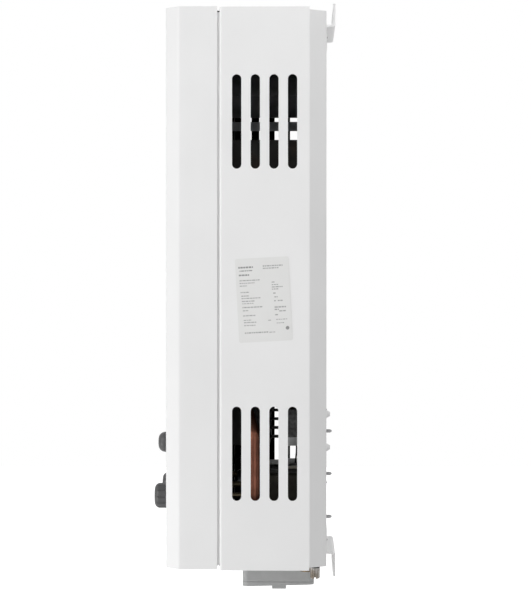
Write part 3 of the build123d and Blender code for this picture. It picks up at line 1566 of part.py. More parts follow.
spring_back = guide_length - guide_wall - spring_wire / 2 - spindle_fit
spring_front = guide_fit - spring_pocket + spring_wire / 2 + spindle_fit
spring_height = spring_back - spring_front
with BuildPart() as button_spring:
    with BuildLine() as coil:
        Helix(
            spring_height / spring_coils,
            spring_height,
            spring_diameter / 2,
            center=(button_x, out(inner_face_depth - spring_back), up(button_height)),
            direction=(0, -1, 0),
        )
    with BuildSketch(Plane(origin=coil.line @ 0, z_dir=coil.line % 0)):
        Circle(spring_wire / 2)
    sweep(is_frenet=True)
button_spring.part.label = "button_spring"
export_step(button_spring.part, "parts/button_spring.step")

# ---- front cover fittings ----------------------------------------------------------------------

with BuildPart() as window_frame:
    with BuildSketch(Plane.XZ.offset(-front_y)):
        with Locations((0, up(window_height))):
            SlotOverall(window_width, window_opening_height + 2 * window_rim)
            SlotOverall(
                window_width - 4 * window_rim,
                window_opening_height - 2 * window_rim,
                mode=Mode.SUBTRACT,
            )
    extrude(amount=window_proud)
    fillet(window_frame.edges().group_by(Axis.Y)[0], window_proud / 3)
window_frame.part.label = "window_frame"
export_step(window_frame.part, "parts/window_frame.step")

with BuildPart() as window_pane:
    with BuildSketch(Plane.XZ.offset(-front_y)):
        with Locations((0, up(window_height))):
            SlotOverall(window_width - 2 * window_rim - 2 * fit, window_opening_height - 2 * fit)
    extrude(amount=-window_glass)
window_pane.part.label = "window_pane"
export_step(window_pane.part, "parts/window_pane.step")

with BuildPart() as display_bezel:
    with BuildSketch(Plane.XZ.offset(-front_y)):
        with Locations((0, up(display_height))):
            RectangleRounded(display_width, display_glass_height + 2 * display_rim, display_corner)
            RectangleRounded(
                display_width - 4 * display_rim,
                display_glass_height - 2 * display_rim,
                display_inner_corner,
                mode=Mode.SUBTRACT,
            )
    extrude(amount=display_proud)
    fillet(display_bezel.edges().group_by(Axis.Y)[0], display_proud / 3)
display_bezel.part.label = "display_bezel"
export_step(display_bezel.part, "parts/display_bezel.step")

with BuildPart() as display_module:
    with BuildSketch(Plane.XZ.offset(-front_y)):
        with Locations((0, up(display_height))):
            RectangleRounded(
                display_width - 2 * display_rim - 2 * fit,
                display_glass_height - 2 * fit,
                display_inner_corner - fit,
            )
    extrude(amount=-sheet)
    with BuildSketch(Plane.XZ.offset(-out(inner_face_depth))):
        with Locations((0, up(display_height))):
            RectangleRounded(display_width, display_glass_height + 2 * display_rim, display_corner)
    extrude(amount=-display_module_depth)
display_module.part.label = "display_module"
export_step(display_module.part, "parts/display_module.step")

# ---- control box and leads ---------------------------------------------------------------------

control_top_z = up(burner_base_height - control_top_gap)
control_base_z = control_top_z - control_box_height
control_front_depth = control_back_depth + control_depth
control_y = out(control_back_depth + control_depth / 2)

with BuildPart() as control_box:
    with Locations((0, control_y, control_top_z - control_box_height / 2)):
        Box(control_width, control_depth, control_box_height)
    fillet(control_box.edges().filter_by(Axis.Z), control_round)
    # Short cooling ribs at the right end of its rear face.
    rib_x = control_width / 2 - control_round - control_rib_length / 2
    for rib in range(control_rib_count):
        rib_z = control_base_z + control_rib_first + rib * control_rib_pitch
        with Locations((rib_x, out(control_back_depth - control_rib_reach / 2), rib_z)):
            Box(control_rib_length, control_rib_reach, control_rib)
    # Two lugs reach the burner frame's rim.
    strap_middle_depth = (control_front_depth + chamber_front_depth) / 2 - control_round
    for x in (-control_width / 4, control_width / 4):
        lug_z = control_top_z + control_top_gap / 2
        with Locations((x, out(chamber_front_depth - lug_depth / 2), lug_z)):
            Box(lug_width, lug_depth, control_top_gap)
        with Locations((x, out(strap_middle_depth), control_top_z)):
            Box(
                lug_width,
                chamber_front_depth - control_front_depth + 2 * control_round,
                2 * sheet,
                align=(Align.CENTER, Align.CENTER, Align.MAX),
            )
control_box.part.label = "control_box"
export_step(control_box.part, "parts/control_box.step")

terminal_depth = chamber_front_depth - ceramic_inside + ceramic_length + electrode_terminal / 2
terminal_z = electrode_z - electrode_wire / 2
lead_start_z = control_top_z - control_box_height / 2
solenoid_end_depth = gas_front_depth + solenoid_length
switch_middle_x = switch_left_x + switch_width / 2
lead_routes = [
    # Battery box to control box.
    [
        (box_x, out(lead_front_depth), box_top_z),
        (box_x, out(lead_front_depth), box_top_z + lead_slant),
        (box_x - lead_slant, out(lead_front_depth), control_base_z - lead_slant),
        (box_x - lead_slant, out(lead_front_depth), control_base_z),
    ],
    # Solenoid to control box.
    [
        (solenoid_x, out(solenoid_end_depth), valve_z),
        (solenoid_x, out(solenoid_end_depth + lead_slant), valve_z),
        (solenoid_x, out(solenoid_end_depth + lead_slant), valve_z + lead_slant),
        (solenoid_x, out(lead_front_depth + lead_slant), control_base_z - lead_slant),
        (solenoid_x, out(lead_front_depth + lead_slant), control_base_z),
    ],
    # Display to control box.
    [
        (0, out(inner_face_depth - display_module_depth), up(display_height - lead_slant)),
        (0, out(inner_face_depth - 2 * display_module_depth), up(display_height - lead_slant)),
        (0, out(control_front_depth + lead_slant), lead_start_z - lead_sag),
        (0, out(control_front_depth), lead_start_z - lead_sag),
    ],
    # Micro-switch to control box.
    [
        (switch_middle_x, valve_y - switch_depth / 2, pad_z + switch_height / 2),
        (switch_middle_x, valve_y - switch_depth / 2 - lead_slant, pad_z + switch_height / 2),
        (control_width / 2 - lead_slant / 2, out(lead_front_depth), pad_z + switch_height / 2),
        (control_width / 2 - lead_slant / 2, out(lead_front_depth), control_base_z),
    ],
]
# Electrodes to control box.
for x, _ in electrode_places:
    lead_routes.append(
        [
            (x - lead_slant, out(control_front_depth), lead_start_z),
            (x - lead_slant, out(control_front_depth + lead_slant), lead_start_z),
            (x - lead_slant, out(terminal_depth - lead_slant), lead_start_z + lead_sag),
            (x, out(terminal_depth), lead_start_z + 2 * lead_slant),
            (x, out(terminal_depth), terminal_z),
        ]
    )
lead_tubes = [bent_tube(route_points, lead_bend, lead, 0) for route_points in lead_routes]
with BuildPart() as leads:
    for lead_tube in lead_tubes:
        add(lead_tube.part)
leads.part.label = "leads"
export_step(leads.part, "parts/leads.step")
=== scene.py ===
import json
import math
import random

import bmesh
import bpy
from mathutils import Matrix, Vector


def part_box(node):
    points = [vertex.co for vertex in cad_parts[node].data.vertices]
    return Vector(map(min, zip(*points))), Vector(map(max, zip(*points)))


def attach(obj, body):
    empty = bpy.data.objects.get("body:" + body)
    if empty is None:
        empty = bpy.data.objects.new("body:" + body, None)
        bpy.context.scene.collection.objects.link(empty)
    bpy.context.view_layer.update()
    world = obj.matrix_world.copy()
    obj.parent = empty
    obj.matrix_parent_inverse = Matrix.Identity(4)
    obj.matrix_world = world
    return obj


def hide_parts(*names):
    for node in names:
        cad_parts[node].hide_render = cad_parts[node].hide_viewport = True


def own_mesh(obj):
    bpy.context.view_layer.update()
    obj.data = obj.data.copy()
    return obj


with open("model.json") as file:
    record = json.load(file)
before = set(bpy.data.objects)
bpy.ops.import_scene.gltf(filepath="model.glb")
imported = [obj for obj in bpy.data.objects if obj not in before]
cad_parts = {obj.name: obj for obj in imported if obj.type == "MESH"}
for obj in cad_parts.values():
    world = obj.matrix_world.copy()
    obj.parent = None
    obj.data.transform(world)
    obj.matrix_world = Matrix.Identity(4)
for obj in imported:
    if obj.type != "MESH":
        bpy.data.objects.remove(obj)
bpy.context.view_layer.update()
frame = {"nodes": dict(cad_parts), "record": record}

MM = 0.001

# ---- places, in metres, read from the frame ---------------------------------------------------

base_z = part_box("rear_casing")[0].z
front_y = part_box("front_cover")[0].y
back_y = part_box("upper_hanger")[0].y


def up(height):
    """The Z of a height in mm above the casing's lower edge."""
    return base_z + height * MM


def out(depth):
    """The Y of a depth in mm in front of the casing's back."""
    return back_y - depth * MM


MIDDLE_HEIGHT = 265
MIDDLE_DEPTH = 76.0

# ---- camera -----------------------------------------------------------------------------------

CAMERA_DISTANCE = 1.795
CAMERA_YAW = 1.16
CAMERA_DROP = 0.37
CAMERA_Y = -0.035
CAMERA_LENS = 103.8
CAMERA_SENSOR = 36.0
scene = bpy.context.scene
camera_data = bpy.data.cameras.new("camera")
camera_data.lens = CAMERA_LENS
camera_data.sensor_width = CAMERA_SENSOR
camera_data.clip_start = 0.05
camera_data.clip_end = 60.0
camera = bpy.data.objects.new("camera", camera_data)
scene.collection.objects.link(camera)
camera.location = (CAMERA_DISTANCE, CAMERA_Y, up(MIDDLE_HEIGHT))
yaw = math.radians(CAMERA_YAW)
drop = math.radians(CAMERA_DROP)
gaze = Vector((-math.cos(drop) * math.cos(yaw), -math.cos(drop) * math.sin(yaw), -math.sin(drop)))
camera.rotation_mode = "QUATERNION"
camera.rotation_quaternion = gaze.to_track_quat("-Z", "Y")
scene.camera = camera
scene.view_settings.view_transform = "Standard"

# ---- materials --------------------------------------------------------------------------------


def shade(red, green=None, blue=None):
    """A linear colour from 8-bit display values."""
    values = (red, red if green is None else green, red if blue is None else blue)
    linear = []
    for value in values:
        part = value / 255
        linear.append(part / 12.92 if part <= 0.04045 else ((part + 0.055) / 1.055) ** 2.4)
    return (*linear, 1.0)


def plug(tree, target, value):
    """Puts a socket or a plain value on an input."""
    if isinstance(value, bpy.types.NodeSocket):
        tree.links.new(value, target)
    else:
        target.default_value = value


def calc(tree, operation, first, second=None):
    """A Math node."""
    node = tree.nodes.new("ShaderNodeMath")
    node.operation = operation
    plug(tree, node.inputs[0], first)
    if second is not None:
        plug(tree, node.inputs[1], second)
    return node.outputs[0]


def blend_colour(tree, factor, first, second):
    """A Mix node for colours."""
    node = tree.nodes.new("ShaderNodeMix")
    node.data_type = "RGBA"
    plug(tree, node.inputs["Factor"], factor)
    plug(tree, node.inputs[6], first)
    plug(tree, node.inputs[7], second)
    return node.outputs[2]


def remap(tree, value, low, high, to_low, to_high, smooth=False):
    """A Map Range node."""
    node = tree.nodes.new("ShaderNodeMapRange")
    node.interpolation_type = "SMOOTHSTEP" if smooth else "LINEAR"
    plug(tree, node.inputs["Value"], value)
    for name, number in (("From Min", low), ("From Max", high), ("To Min", to_low), ("To Max", to_high)):
        node.inputs[name].default_value = number
    return node.outputs["Result"]


def places(tree, stretch=(1, 1, 1)):
    """The object's own coordinates, in metres, scaled."""
    coordinates = tree.nodes.new("ShaderNodeTexCoord").outputs["Object"]
    if tuple(stretch) == (1, 1, 1):
        return coordinates
    node = tree.nodes.new("ShaderNodeMapping")
    node.inputs["Scale"].default_value = stretch
    tree.links.new(coordinates, node.inputs["Vector"])
    return node.outputs["Vector"]


def noise(tree, size, detail=2.0, stretch=(1, 1, 1)):
    """A Noise texture whose features are about size metres."""
    node = tree.nodes.new("ShaderNodeTexNoise")
    node.inputs["Scale"].default_value = 1 / size
    node.inputs["Detail"].default_value = detail
    tree.links.new(places(tree, stretch), node.inputs["Vector"])
    return node.outputs["Fac"]


def uneven(tree, size, detail=2.0, low=0.0, high=1.0, stretch=(1, 1, 1)):
    """Noise whose middle part is spread from low to high."""
    return remap(tree, noise(tree, size, detail, stretch), 0.3, 0.7, low, high)


def start(name):
    """A new material with its tree and shader."""
    made = bpy.data.materials.new(name)
    made.use_nodes = True
    return made, made.node_tree, made.node_tree.nodes["Principled BSDF"]


def add_bump(tree, shader, height, distance):
    """Gives a shader a fine bump."""
    bump = tree.nodes.new("ShaderNodeBump")
    bump.inputs["Strength"].default_value = 1.0
    bump.inputs["Distance"].default_value = distance
    tree.links.new(height, bump.inputs["Height"])
    tree.links.new(bump.outputs["Normal"], shader.inputs["Normal"])


def tinted(colour, gain):
    """A colour made lighter or darker."""
    return (*(min(1.0, part * gain) for part in colour[:3]), 1.0)


def surface(
    name,
    colour,
    rough,
    metal=0.0,
    mottle=0.05,
    mottle_size=0.03,
    spread=0.06,
    grain=0.0,
    grain_size=0.0008,
    stretch=(1, 1, 1),
    stain=None,
    stain_size=0.05,
    stain_share=0.35,
    coat=0.0,
    specular=0.5,
):
    """A finish with uneven colour and gloss, a fine bump and, with stain, patches of a second colour."""
    made, tree, shader = start(name)
    factor = uneven(tree, mottle_size, 3.0, stretch=stretch)
    paint = blend_colour(tree, factor, tinted(colour, 1 - mottle), tinted(colour, 1 + mottle))
    if stain is not None:
        patches = noise(tree, stain_size, 4.0)
        where = remap(tree, patches, 0.62 - stain_share / 2, 0.72, 0.0, 1.0, smooth=True)
        paint = blend_colour(tree, where, paint, stain)
    tree.links.new(paint, shader.inputs["Base Color"])
    gloss = uneven(tree, mottle_size * 0.6, 3.0, rough - spread, rough + spread, stretch)
    tree.links.new(gloss, shader.inputs["Roughness"])
    shader.inputs["Metallic"].default_value = metal
    shader.inputs["Specular IOR Level"].default_value = specular
    shader.inputs["Coat Weight"].default_value = coat
    if grain > 0:
        add_bump(tree, shader, noise(tree, grain_size, 2.0, stretch), grain)
    return made


# Where the casing's and cover's faces turn from the outer white paint to the inner faces that get a painted
# shade, in mm.
CASING_HALF_WIDTH = 170.0
CASING_DEPTH = 152.0
INSIDE_SIDE = 169.2
INSIDE_END = 261.5
INSIDE_DEPTH = 75.3
CHAMFER_INSET = 0.75
COVER_START = 101.8
COVER_RISE = 0.65
SEAM_START = 98.8
SEAM_END = 104.0
SEAM_INSET = 1.2
# (width, depth, depth at the outer face, direction) of the rear corners' and the front bevels' slants
SLANTS = ((9.5, 16.2, 0.0, -1), (10.5, 12.8, CASING_DEPTH, 1))


def inside_casing(tree):
    """1 on faces inside the closed casing, which get a painted shade, 0 on its outer faces and edges."""
    split = tree.nodes.new("ShaderNodeSeparateXYZ")
    tree.links.new(places(tree), split.inputs[0])
    across = calc(tree, "ABSOLUTE", split.outputs["X"])
    depth = calc(tree, "SUBTRACT", back_y, split.outputs["Y"])
    # The cover's middle is a little higher than the rear casing's.
    in_cover = calc(tree, "GREATER_THAN", depth, COVER_START * MM)
    middle_rise = calc(tree, "MULTIPLY", in_cover, COVER_RISE * MM)
    from_middle = calc(tree, "SUBTRACT", split.outputs["Z"], up(MIDDLE_HEIGHT))
    above = calc(tree, "SUBTRACT", from_middle, middle_rise)
    height = calc(tree, "ABSOLUTE", above)
    off_middle = calc(tree, "ABSOLUTE", calc(tree, "SUBTRACT", depth, MIDDLE_DEPTH * MM))
    # The casing's lip shows its outer face in the seam, so it keeps the white paint and gets no painted
    # shade.
    after_start = calc(tree, "GREATER_THAN", depth, SEAM_START * MM)
    in_seam = calc(tree, "MULTIPLY", after_start, calc(tree, "LESS_THAN", depth, SEAM_END * MM))
    lip_shift = calc(tree, "MULTIPLY", in_seam, SEAM_INSET * MM)
    excess = calc(tree, "ADD", calc(tree, "SUBTRACT", across, INSIDE_SIDE * MM), lip_shift)
    excess = calc(tree, "MAXIMUM", excess, calc(tree, "SUBTRACT", height, INSIDE_END * MM))
    excess = calc(tree, "MAXIMUM", excess, calc(tree, "SUBTRACT", off_middle, INSIDE_DEPTH * MM))
    # The slanted rear corners and front bevels: each plane's distance from the outer face.
    for run_x, run_depth, from_depth, turned in SLANTS:
        length = math.hypot(run_x, run_depth)
        past_corner = calc(tree, "SUBTRACT", across, (CASING_HALF_WIDTH - run_x) * MM)
        past_depth = calc(tree, "SUBTRACT", depth, from_depth * MM)
        lean = calc(tree, "MULTIPLY", past_corner, run_depth / length)
        rise = calc(tree, "MULTIPLY", past_depth, turned * run_x / length)
        plane = calc(tree, "ADD", calc(tree, "ADD", lean, rise), CHAMFER_INSET * MM)
        excess = calc(tree, "MAXIMUM", excess, plane)
    return calc(tree, "LESS_THAN", excess, 0.0)


def powder_coat():
    """White powder coat with a slight orange peel; the inner faces get a near-black painted shade and a
    rougher gloss.
    """
    made, tree, shader = start("white_powder_coat")
    paint = blend_colour(tree, uneven(tree, 0.09), shade(238, 238, 238), shade(242, 242, 242))
    inside = inside_casing(tree)
    # Painted shade: the inner faces are coloured near-black to stand in for the darkness inside the closed
    # casing.
    painted_inner_shade = blend_colour(tree, uneven(tree, 0.02, 3.0), shade(26), shade(34, 33, 32))
    tree.links.new(blend_colour(tree, inside, paint, painted_inner_shade), shader.inputs["Base Color"])
    gloss = uneven(tree, 0.012, 3.0, 0.36, 0.46)
    inside_gloss = calc(tree, "MULTIPLY", inside, 0.8)
    tree.links.new(calc(tree, "MAXIMUM", gloss, inside_gloss), shader.inputs["Roughness"])
    shader.inputs["Specular IOR Level"].default_value = 0.35
    add_bump(tree, shader, noise(tree, 0.0012, 2.0), 0.00001)
    return made


def window_glass():
    """Smoked heat-resistant glass."""
    made, tree, shader = start("window_glass")
    smoke = blend_colour(tree, uneven(tree, 0.02), (0.12, 0.10, 0.08, 1), (0.16, 0.13, 0.10, 1))
    tree.links.new(smoke, shader.inputs["Base Color"])
    shader.inputs["Transmission Weight"].default_value = 0.85
    shader.inputs["IOR"].default_value = 1.47
    tree.links.new(uneven(tree, 0.006, low=0.03, high=0.08), shader.inputs["Roughness"])
    return made


def cell_wrap():
    """A plain blue wrap with bare metal ends."""
    made, tree, shader = start("cell_wrap")
    split = tree.nodes.new("ShaderNodeSeparateXYZ")
    tree.links.new(places(tree), split.inputs[0])
    cells_low, cells_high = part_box("battery_cells")
    top_end = calc(tree, "GREATER_THAN", split.outputs["Z"], cells_high.z - 3 * MM)
    low_end = calc(tree, "LESS_THAN", split.outputs["Z"], cells_low.z + 0.7 * MM)
    ends = calc(tree, "MAXIMUM", top_end, low_end)
    wrap = blend_colour(tree, uneven(tree, 0.01), shade(46, 76, 118), shade(52, 84, 128))
    tree.links.new(blend_colour(tree, ends, wrap, shade(180, 180, 182)), shader.inputs["Base Color"])
    tree.links.new(ends, shader.inputs["Metallic"])
    tree.links.new(uneven(tree, 0.004, low=0.22, high=0.34), shader.inputs["Roughness"])
    return made


materials = {
    "white_powder_coat": powder_coat(),
    "galvanised": surface(
        "galvanised", shade(132, 134, 137), 0.45, metal=0.9, mottle=0.16, mottle_size=0.012, spread=0.1,
        grain=0.00001, grain_size=0.004,
    ),
    "zinc_screws": surface(
        "zinc_screws", shade(140, 140, 141), 0.4, metal=0.9, mottle=0.12, mottle_size=0.002, spread=0.1,
        grain=0.00002, grain_size=0.0005,
    ),
    "label_paper": surface(
        "label_paper", shade(231, 231, 230), 0.4, mottle=0.012, mottle_size=0.02, spread=0.05,
        grain=0.000008, grain_size=0.0006,
    ),
    "dark_plastic": surface(
        "dark_plastic", shade(69, 69, 70), 0.48, mottle=0.06, mottle_size=0.006, spread=0.06,
        grain=0.00003, grain_size=0.0005,
    ),
    "grey_plastic": surface(
        "grey_plastic", shade(179, 180, 180), 0.52, mottle=0.04, mottle_size=0.01, spread=0.06,
        grain=0.00003, grain_size=0.0006,
    ),
    "black_plastic": surface(
        "black_plastic", shade(88, 88, 86), 0.6, mottle=0.12, mottle_size=0.008, spread=0.08,
        grain=0.00003, grain_size=0.0007,
    ),
    "chrome_trim": surface(
        "chrome_trim", shade(205, 206, 208), 0.16, metal=1.0, mottle=0.03, mottle_size=0.01, spread=0.05,
    ),
    "window_glass": window_glass(),
    "display_glass": surface(
        "display_glass", shade(16, 17, 20), 0.09, mottle=0.12, mottle_size=0.02, spread=0.03, coat=0.4,
    ),
    "copper": surface(
        "copper", shade(134, 86, 69), 0.42, metal=0.85, mottle=0.18, mottle_size=0.01, spread=0.12,
        stain=shade(84, 56, 46), stain_size=0.03, stain_share=0.4, grain=0.00002, grain_size=0.002,
    ),
    "coated_copper": surface(
        "coated_copper", shade(44, 40, 38), 0.62, mottle=0.18, mottle_size=0.02, spread=0.1,
        stain=shade(70, 52, 42), stain_size=0.04, stain_share=0.2, grain=0.00004, grain_size=0.0015,
    ),
    "brass": surface(
        "brass", shade(172, 156, 128), 0.38, metal=0.9, mottle=0.12, mottle_size=0.005, spread=0.1,
        stain=shade(118, 104, 86), stain_size=0.012, stain_share=0.3, grain=0.00002, grain_size=0.001,
    ),
    "die_cast": surface(
        "die_cast", shade(108, 108, 108), 0.5, metal=0.8, mottle=0.4, mottle_size=0.004, spread=0.12,
        grain=0.0002, grain_size=0.0016,
    ),
    "burner_steel": surface(
        "burner_steel", shade(94, 88, 82), 0.42, metal=0.85, mottle=0.15, mottle_size=0.01, spread=0.12,
        stain=shade(70, 56, 58), stain_size=0.03, stain_share=0.4,
    ),
    "ceramic": surface(
        "ceramic", shade(232, 230, 222), 0.22, mottle=0.03, mottle_size=0.006, spread=0.06, coat=0.3,
    ),
    "lead_rubber": surface(
        "lead_rubber", shade(44, 42, 42), 0.6, mottle=0.15, mottle_size=0.02, spread=0.08,
        grain=0.00003, grain_size=0.0008,
    ),
    "seal_rubber": surface(
        "seal_rubber", shade(28, 28, 28), 0.75, mottle=0.12, mottle_size=0.003, spread=0.08,
        grain=0.00003, grain_size=0.0004,
    ),
    "cell_wrap": cell_wrap(),
    "spring_steel": surface(
        "spring_steel", shade(150, 150, 152), 0.3, metal=1.0, mottle=0.08, mottle_size=0.003, spread=0.08,
    ),
}

# Nodes whose finish differs from the rest of their slot.
cast_brass = surface(
    "cast_brass", shade(66, 63, 56), 0.6, metal=0.5, mottle=0.25, mottle_size=0.008, spread=0.1,
    stain=shade(48, 44, 38), stain_size=0.02, stain_share=0.4, grain=0.0001, grain_size=0.0012,
)
machined_brass = surface(
    "machined_brass", shade(206, 202, 190), 0.36, metal=0.6, mottle=0.08, mottle_size=0.006, spread=0.08,
    grain=0.00001, grain_size=0.0008,
)
bright_sheet = surface(
    "bright_sheet", shade(214, 215, 216), 0.42, metal=0.5, mottle=0.08, mottle_size=0.012, spread=0.08,
    grain=0.00001, grain_size=0.003,
)
aged_brass = surface(
    "aged_brass", shade(168, 166, 163), 0.46, metal=0.8, mottle=0.14, mottle_size=0.004, spread=0.1,
    stain=shade(120, 112, 102), stain_size=0.01, stain_share=0.35, grain=0.00003, grain_size=0.001,
)
own_finish = {
    "drain_plug": aged_brass,
    "water_valve_body": cast_brass,
    "diaphragm_housing": machined_brass,
    "manifold_bracket": bright_sheet,
}
for entry in frame["record"]["subparts"]:
    shown = frame["nodes"][entry["node"]]
    shown.data.materials.clear()
    shown.data.materials.append(own_finish.get(entry["node"], materials[entry["material_slot"]]))

# ---- mesh helpers -----------------------------------------------------------------------------


def piece(name, mesh, finish, body, smooth=False):
    """A finished mesh as an object that rides on a body."""
    data = bpy.data.meshes.new(name)
    bmesh.ops.recalc_face_normals(mesh, faces=mesh.faces)
    mesh.to_mesh(data)
    mesh.free()
    made = bpy.data.objects.new(name, data)
    scene.collection.objects.link(made)
    data.materials.append(finish)
    if smooth:
        data.shade_smooth()
        data.set_sharp_from_angle(angle=math.radians(35))
    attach(made, body)
    return made


def slab(mesh, centre, half_u, half_v, half_w, u_axis, v_axis):
    """Adds a closed box around centre, with its half sizes along u, v and their cross product."""
    w_axis = u_axis.cross(v_axis)
    corners = []
    for w_side in (-1, 1):
        for u_side, v_side in ((-1, -1), (1, -1), (1, 1), (-1, 1)):
            offset = u_axis * u_side * half_u + v_axis * v_side * half_v + w_axis * w_side * half_w
            corners.append(mesh.verts.new(centre + offset))
    mesh.faces.new([corners[index] for index in (3, 2, 1, 0)])
    mesh.faces.new([corners[index] for index in (4, 5, 6, 7)])
    for index in range(4):
        after = (index + 1) % 4
        mesh.faces.new([corners[index], corners[after], corners[after + 4], corners[index + 4]])


def disc(mesh, centre, radius, half_w, u_axis, v_axis, count=24):
    """Adds a closed round slab."""
    w_axis = u_axis.cross(v_axis)
    rings = []
    for w_side in (-1, 1):
        ring = []
        for index in range(count):
            turn = 2 * math.pi * index / count
            outward = u_axis * math.cos(turn) + v_axis * math.sin(turn)
            ring.append(mesh.verts.new(centre + outward * radius + w_axis * w_side * half_w))
        rings.append(ring)
    mesh.faces.new(rings[0][::-1])
    mesh.faces.new(rings[1])
    for index in range(count):
        after = (index + 1) % count
        mesh.faces.new([rings[0][index], rings[0][after], rings[1][after], rings[1][index]])


def lathe(mesh, profile, centre, count=48, radius_at=None):
    """Adds a closed ring around Z from a closed (radius, z) outline; radius_at may vary the radius."""
    rings = []
    for index in range(count):
        turn = 2 * math.pi * index / count
        ring = []
        for radius, height in profile:
            real = radius if radius_at is None else radius_at(radius, height, turn)
            x = centre[0] + real * math.cos(turn)
            y = centre[1] + real * math.sin(turn)
            ring.append(mesh.verts.new((x, y, height)))
        rings.append(ring)
    for index in range(count):
        here, there = rings[index], rings[(index + 1) % count]
        for step in range(len(profile)):
            after = (step + 1) % len(profile)
            mesh.faces.new([here[step], there[step], there[after], here[after]])


X_AXIS = Vector((1, 0, 0))
Z_AXIS = Vector((0, 0, 1))

# ---- the rating label's plain marks -----------------------------------------------------------

print_grey = surface(
    "print_grey", shade(164), 0.5, mottle=0.12, mottle_size=0.002, spread=0.06,
    grain=0.000005, grain_size=0.0004,
)
print_dark = surface(
    "print_dark", shade(140), 0.5, mottle=0.15, mottle_size=0.0015, spread=0.06,
    grain=0.000005, grain_size=0.0004,
)

LABEL_TILT = math.radians(3.0)
label_low, label_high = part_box("rating_label")
label_centre = (label_low + label_high) / 2
label_centre.x = label_high.x
label_u = Vector((0, math.cos(LABEL_TILT), math.sin(LABEL_TILT)))
label_v = Vector((0, -math.sin(LABEL_TILT), math.cos(LABEL_TILT)))
PRINT_HALF = 0.015 * MM


def label_spot(across, rise):
    """A point on the label, in mm from its middle."""
    return label_centre + label_u * across * MM + label_v * rise * MM + X_AXIS * PRINT_HALF


def dashes(mesh, across, rise, length, thick, chooser, gap=0.55, shortest=0.9, longest=3.2):
    """A row of short bars, as long as given, with gaps like those between words."""
    end = across + length
    while across < end - shortest:
        run = min(chooser.uniform(shortest, longest), end - across)
        spot = label_spot(across + run / 2, rise)
        slab(mesh, spot, run / 2 * MM, thick / 2 * MM, PRINT_HALF, label_u, label_v)
        across += run + gap


# (left end, height, length, thickness) in mm from the label's middle
dark_rows = (
    (-22.5, 31.0, 14.5, 1.5), (-21.5, 27.8, 12.0, 0.9), (-22.3, 23.8, 9.5, 1.4),
)
grey_rows = (
    (0.5, 31.5, 19.0, 1.1), (0.5, 29.3, 15.5, 1.0),
    (-22.0, 18.7, 19.0, 0.9), (-22.0, 16.2, 14.0, 0.8), (-22.0, 13.7, 6.5, 0.8),
    (-21.5, 7.6, 9.0, 0.9), (-21.0, 4.2, 7.5, 0.9), (-21.0, 1.9, 18.0, 0.8),
    (-20.8, -0.8, 12.5, 0.9), (-20.5, -3.0, 10.5, 0.7), (-20.5, -6.6, 19.5, 1.0),
    (-20.3, -9.6, 5.0, 0.8), (-20.3, -14.4, 11.5, 0.9), (-20.0, -18.6, 7.0, 0.7),
    (-19.8, -20.8, 12.5, 0.8), (-19.8, -23.6, 12.0, 0.8), (-19.5, -30.6, 22.0, 1.1), (3.5, -30.9, 5.5, 0.7),
    (8.0, 16.0, 3.0, 0.8), (8.0, 13.6, 6.0, 0.8), (8.0, 11.4, 10.5, 0.9), (8.0, 9.4, 6.0, 0.9),
    (9.0, 5.6, 3.2, 1.0), (10.0, 2.0, 3.4, 1.0), (9.5, -1.6, 1.6, 1.0), (13.0, -1.6, 4.5, 1.0),
    (9.6, -7.6, 10.8, 1.2), (9.6, -9.8, 5.0, 1.2), (13.8, -11.4, 7.0, 1.0), (9.8, -14.8, 2.6, 1.1),
    (3.0, -19.6, 3.5, 0.7), (10.5, -19.2, 10.5, 0.7), (10.8, -22.6, 8.0, 0.7),
)
# (name, rows, ink, seed)
label_prints = (
    ("label_rows_dark", dark_rows, print_dark, 3),
    ("label_rows_grey", grey_rows, print_grey, 7),
)
for name, rows, ink, seed in label_prints:
    chooser = random.Random(seed)
    mesh = bmesh.new()
    for row_left, row_height, row_length, row_thick in rows:
        dashes(mesh, row_left, row_height, row_length, row_thick, chooser)
    if ink is print_dark:
        disc(mesh, label_spot(20.8, -27.6), 1.7 * MM, PRINT_HALF, label_u, label_v)
    piece(name, mesh, ink, "root")

# ---- marks around the knobs, on the knobs and on the display ------------------------------------

front_print = surface(
    "front_print", shade(96, 98, 102), 0.45, mottle=0.05, mottle_size=0.004, spread=0.05,
    grain=0.000005, grain_size=0.0005,
)
pointer_paint = surface(
    "pointer_paint", shade(226), 0.45, mottle=0.03, mottle_size=0.003, spread=0.05,
    grain=0.00001, grain_size=0.0005,
)
segment_grey = surface(
    "segment_grey", shade(58, 60, 62), 0.3, mottle=0.08, mottle_size=0.004, spread=0.05,
)

MARK_HALF = 0.02 * MM
POINTER_DEPTH = 0.35 * MM
POINTER_RISE = 3.9 * MM
TICK_RADIUS = 15.5 * MM
TICK_DEGREES = 15
# knob: how many degrees it turns
knob_nodes = {"water_knob": 270, "gas_knob": 180, "season_knob": 90}
dial_mesh = bmesh.new()
for knob_name, sweep_degrees in knob_nodes.items():
    knob_low, knob_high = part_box(knob_name)
    centre = Vector(((knob_low.x + knob_high.x) / 2, 0, (knob_low.z + knob_high.z) / 2))
    # The pointer's paint, in the groove across the knob's face.
    groove = Vector((centre.x, knob_low.y + POINTER_DEPTH, centre.z + POINTER_RISE))
    pointer_mesh = bmesh.new()
    slab(pointer_mesh, groove, 0.78 * MM, 3.2 * MM, 0.13 * MM, X_AXIS, Z_AXIS)
    piece(knob_name + "_pointer", pointer_mesh, pointer_paint, knob_name)
    # Ticks that grow clockwise around each dial, seen from the front.
    steps = sweep_degrees // TICK_DEGREES
    for step in range(steps + 1):
        turn = math.radians(90 - sweep_degrees * step / steps)
        outward = Vector((math.cos(turn), 0, math.sin(turn)))
        along = Vector((-math.sin(turn), 0, math.cos(turn)))
        length = (0.8 + 1.6 * step / steps) * MM
        spot = centre + outward * (TICK_RADIUS + length)
        spot.y = front_y - MARK_HALF
        slab(dial_mesh, spot, length, 0.45 * MM, MARK_HALF, outward, along)
piece("dial_marks", dial_mesh, front_print, "root")

